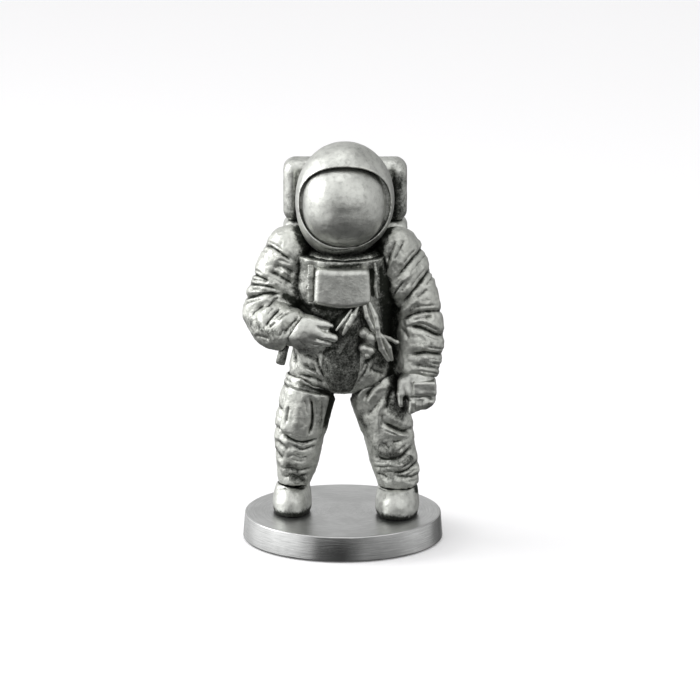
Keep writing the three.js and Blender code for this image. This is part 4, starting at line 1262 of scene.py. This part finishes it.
def make_surroundings():
    """A world that is bright on one side, grey on the other, dark behind the camera and bright overhead."""
    world = bpy.data.worlds.new("studio")
    bpy.context.scene.world = world
    world.use_nodes = True
    tree = world.node_tree

    def add(kind, *inputs, **settings):
        node = tree.nodes.new(kind)
        for key, value in settings.items():
            setattr(node, key, value)
        for socket, value in zip(node.inputs, inputs):
            feed(tree, socket, value)
        return node.outputs[0]

    def ramp_of(value, stops):
        node = tree.nodes.new("ShaderNodeValToRGB")
        node.color_ramp.interpolation = "EASE"
        elements = node.color_ramp.elements
        while len(elements) < len(stops):
            elements.new(0.5)
        for element, (place, level) in zip(elements, stops):
            element.position = place
            element.color = (level, level, level, 1)
        tree.links.new(value, node.inputs[0])
        return node.outputs[0]

    direction = tree.nodes.new("ShaderNodeTexCoord").outputs["Generated"]
    split = tree.nodes.new("ShaderNodeSeparateXYZ")
    tree.links.new(direction, split.inputs[0])
    x, y, z = split.outputs
    ahead = add("ShaderNodeMath", y, -1.0, operation="MULTIPLY")
    bearing = add("ShaderNodeMath", x, ahead, operation="ARCTAN2")
    turn = add("ShaderNodeMath", bearing, 1 / (2 * math.pi), 0.5, operation="MULTIPLY_ADD")
    walls = ramp_of(turn, [((degrees + 180) / 360, level) for degrees, level in WALLS])
    upward = ramp_of(add("ShaderNodeMath", z, 0.5, 0.5, operation="MULTIPLY_ADD"), [(0.4, 0), (0.66, 1)])
    downward = ramp_of(add("ShaderNodeMath", z, 0.5, 0.5, operation="MULTIPLY_ADD"), [(0.2, 0), (0.42, 1)])
    overhead = ramp_of(add("ShaderNodeMath", x, 0.5, 0.5, operation="MULTIPLY_ADD"), CEILING)
    mixed = tree.nodes.new("ShaderNodeMix")
    tree.links.new(upward, mixed.inputs[0])
    tree.links.new(walls, mixed.inputs[2])
    tree.links.new(overhead, mixed.inputs[3])
    under = tree.nodes.new("ShaderNodeMix")
    tree.links.new(downward, under.inputs[0])
    under.inputs[2].default_value = UNDERNEATH
    tree.links.new(mixed.outputs[0], under.inputs[3])
    background = tree.nodes["Background"]
    tree.links.new(under.outputs[0], background.inputs["Color"])
    background.inputs["Strength"].default_value = 1.0


# The picture's frame: its width and the place of its middle on the picture plane, in metres, seen from
# CAMERA_DISTANCE away through a long lens.
FRAME_WIDTH = 0.14056
FRAME_MIDDLE_X = 1.4257 * MM
FRAME_MIDDLE_HEIGHT = 37.3293 * MM
CAMERA_DISTANCE = 5.0
SENSOR_WIDTH = 36


def make_camera():
    """The camera, which looks down at the statuette by VIEW_TILT."""
    camera = bpy.data.cameras.new("camera")
    thing = bpy.data.objects.new("camera", camera)
    bpy.context.scene.collection.objects.link(thing)
    bpy.context.scene.camera = thing
    camera.sensor_width = SENSOR_WIDTH
    camera.lens = SENSOR_WIDTH * CAMERA_DISTANCE / FRAME_WIDTH
    camera.clip_end = 30
    target = np.array([FRAME_MIDDLE_X, FRAME_MIDDLE_HEIGHT * TILT_SIN, FRAME_MIDDLE_HEIGHT * TILT_COS])
    thing.location = target + CAMERA_DISTANCE * TO_VIEWER
    look_along(thing, -TO_VIEWER)


make_suit()
make_helmet()
make_visor()
make_right_glove()
make_left_glove()
make_boots()
make_chest_unit()
make_backpack_top_unit()
make_backpack_main()
make_hoses()
make_connectors()
make_straps()
make_thigh_pocket()
make_hip_rod()
make_belly_cover()
make_neck_ring()
make_base()
darken_recesses()
paint_pieces()
make_studio()
make_camera()
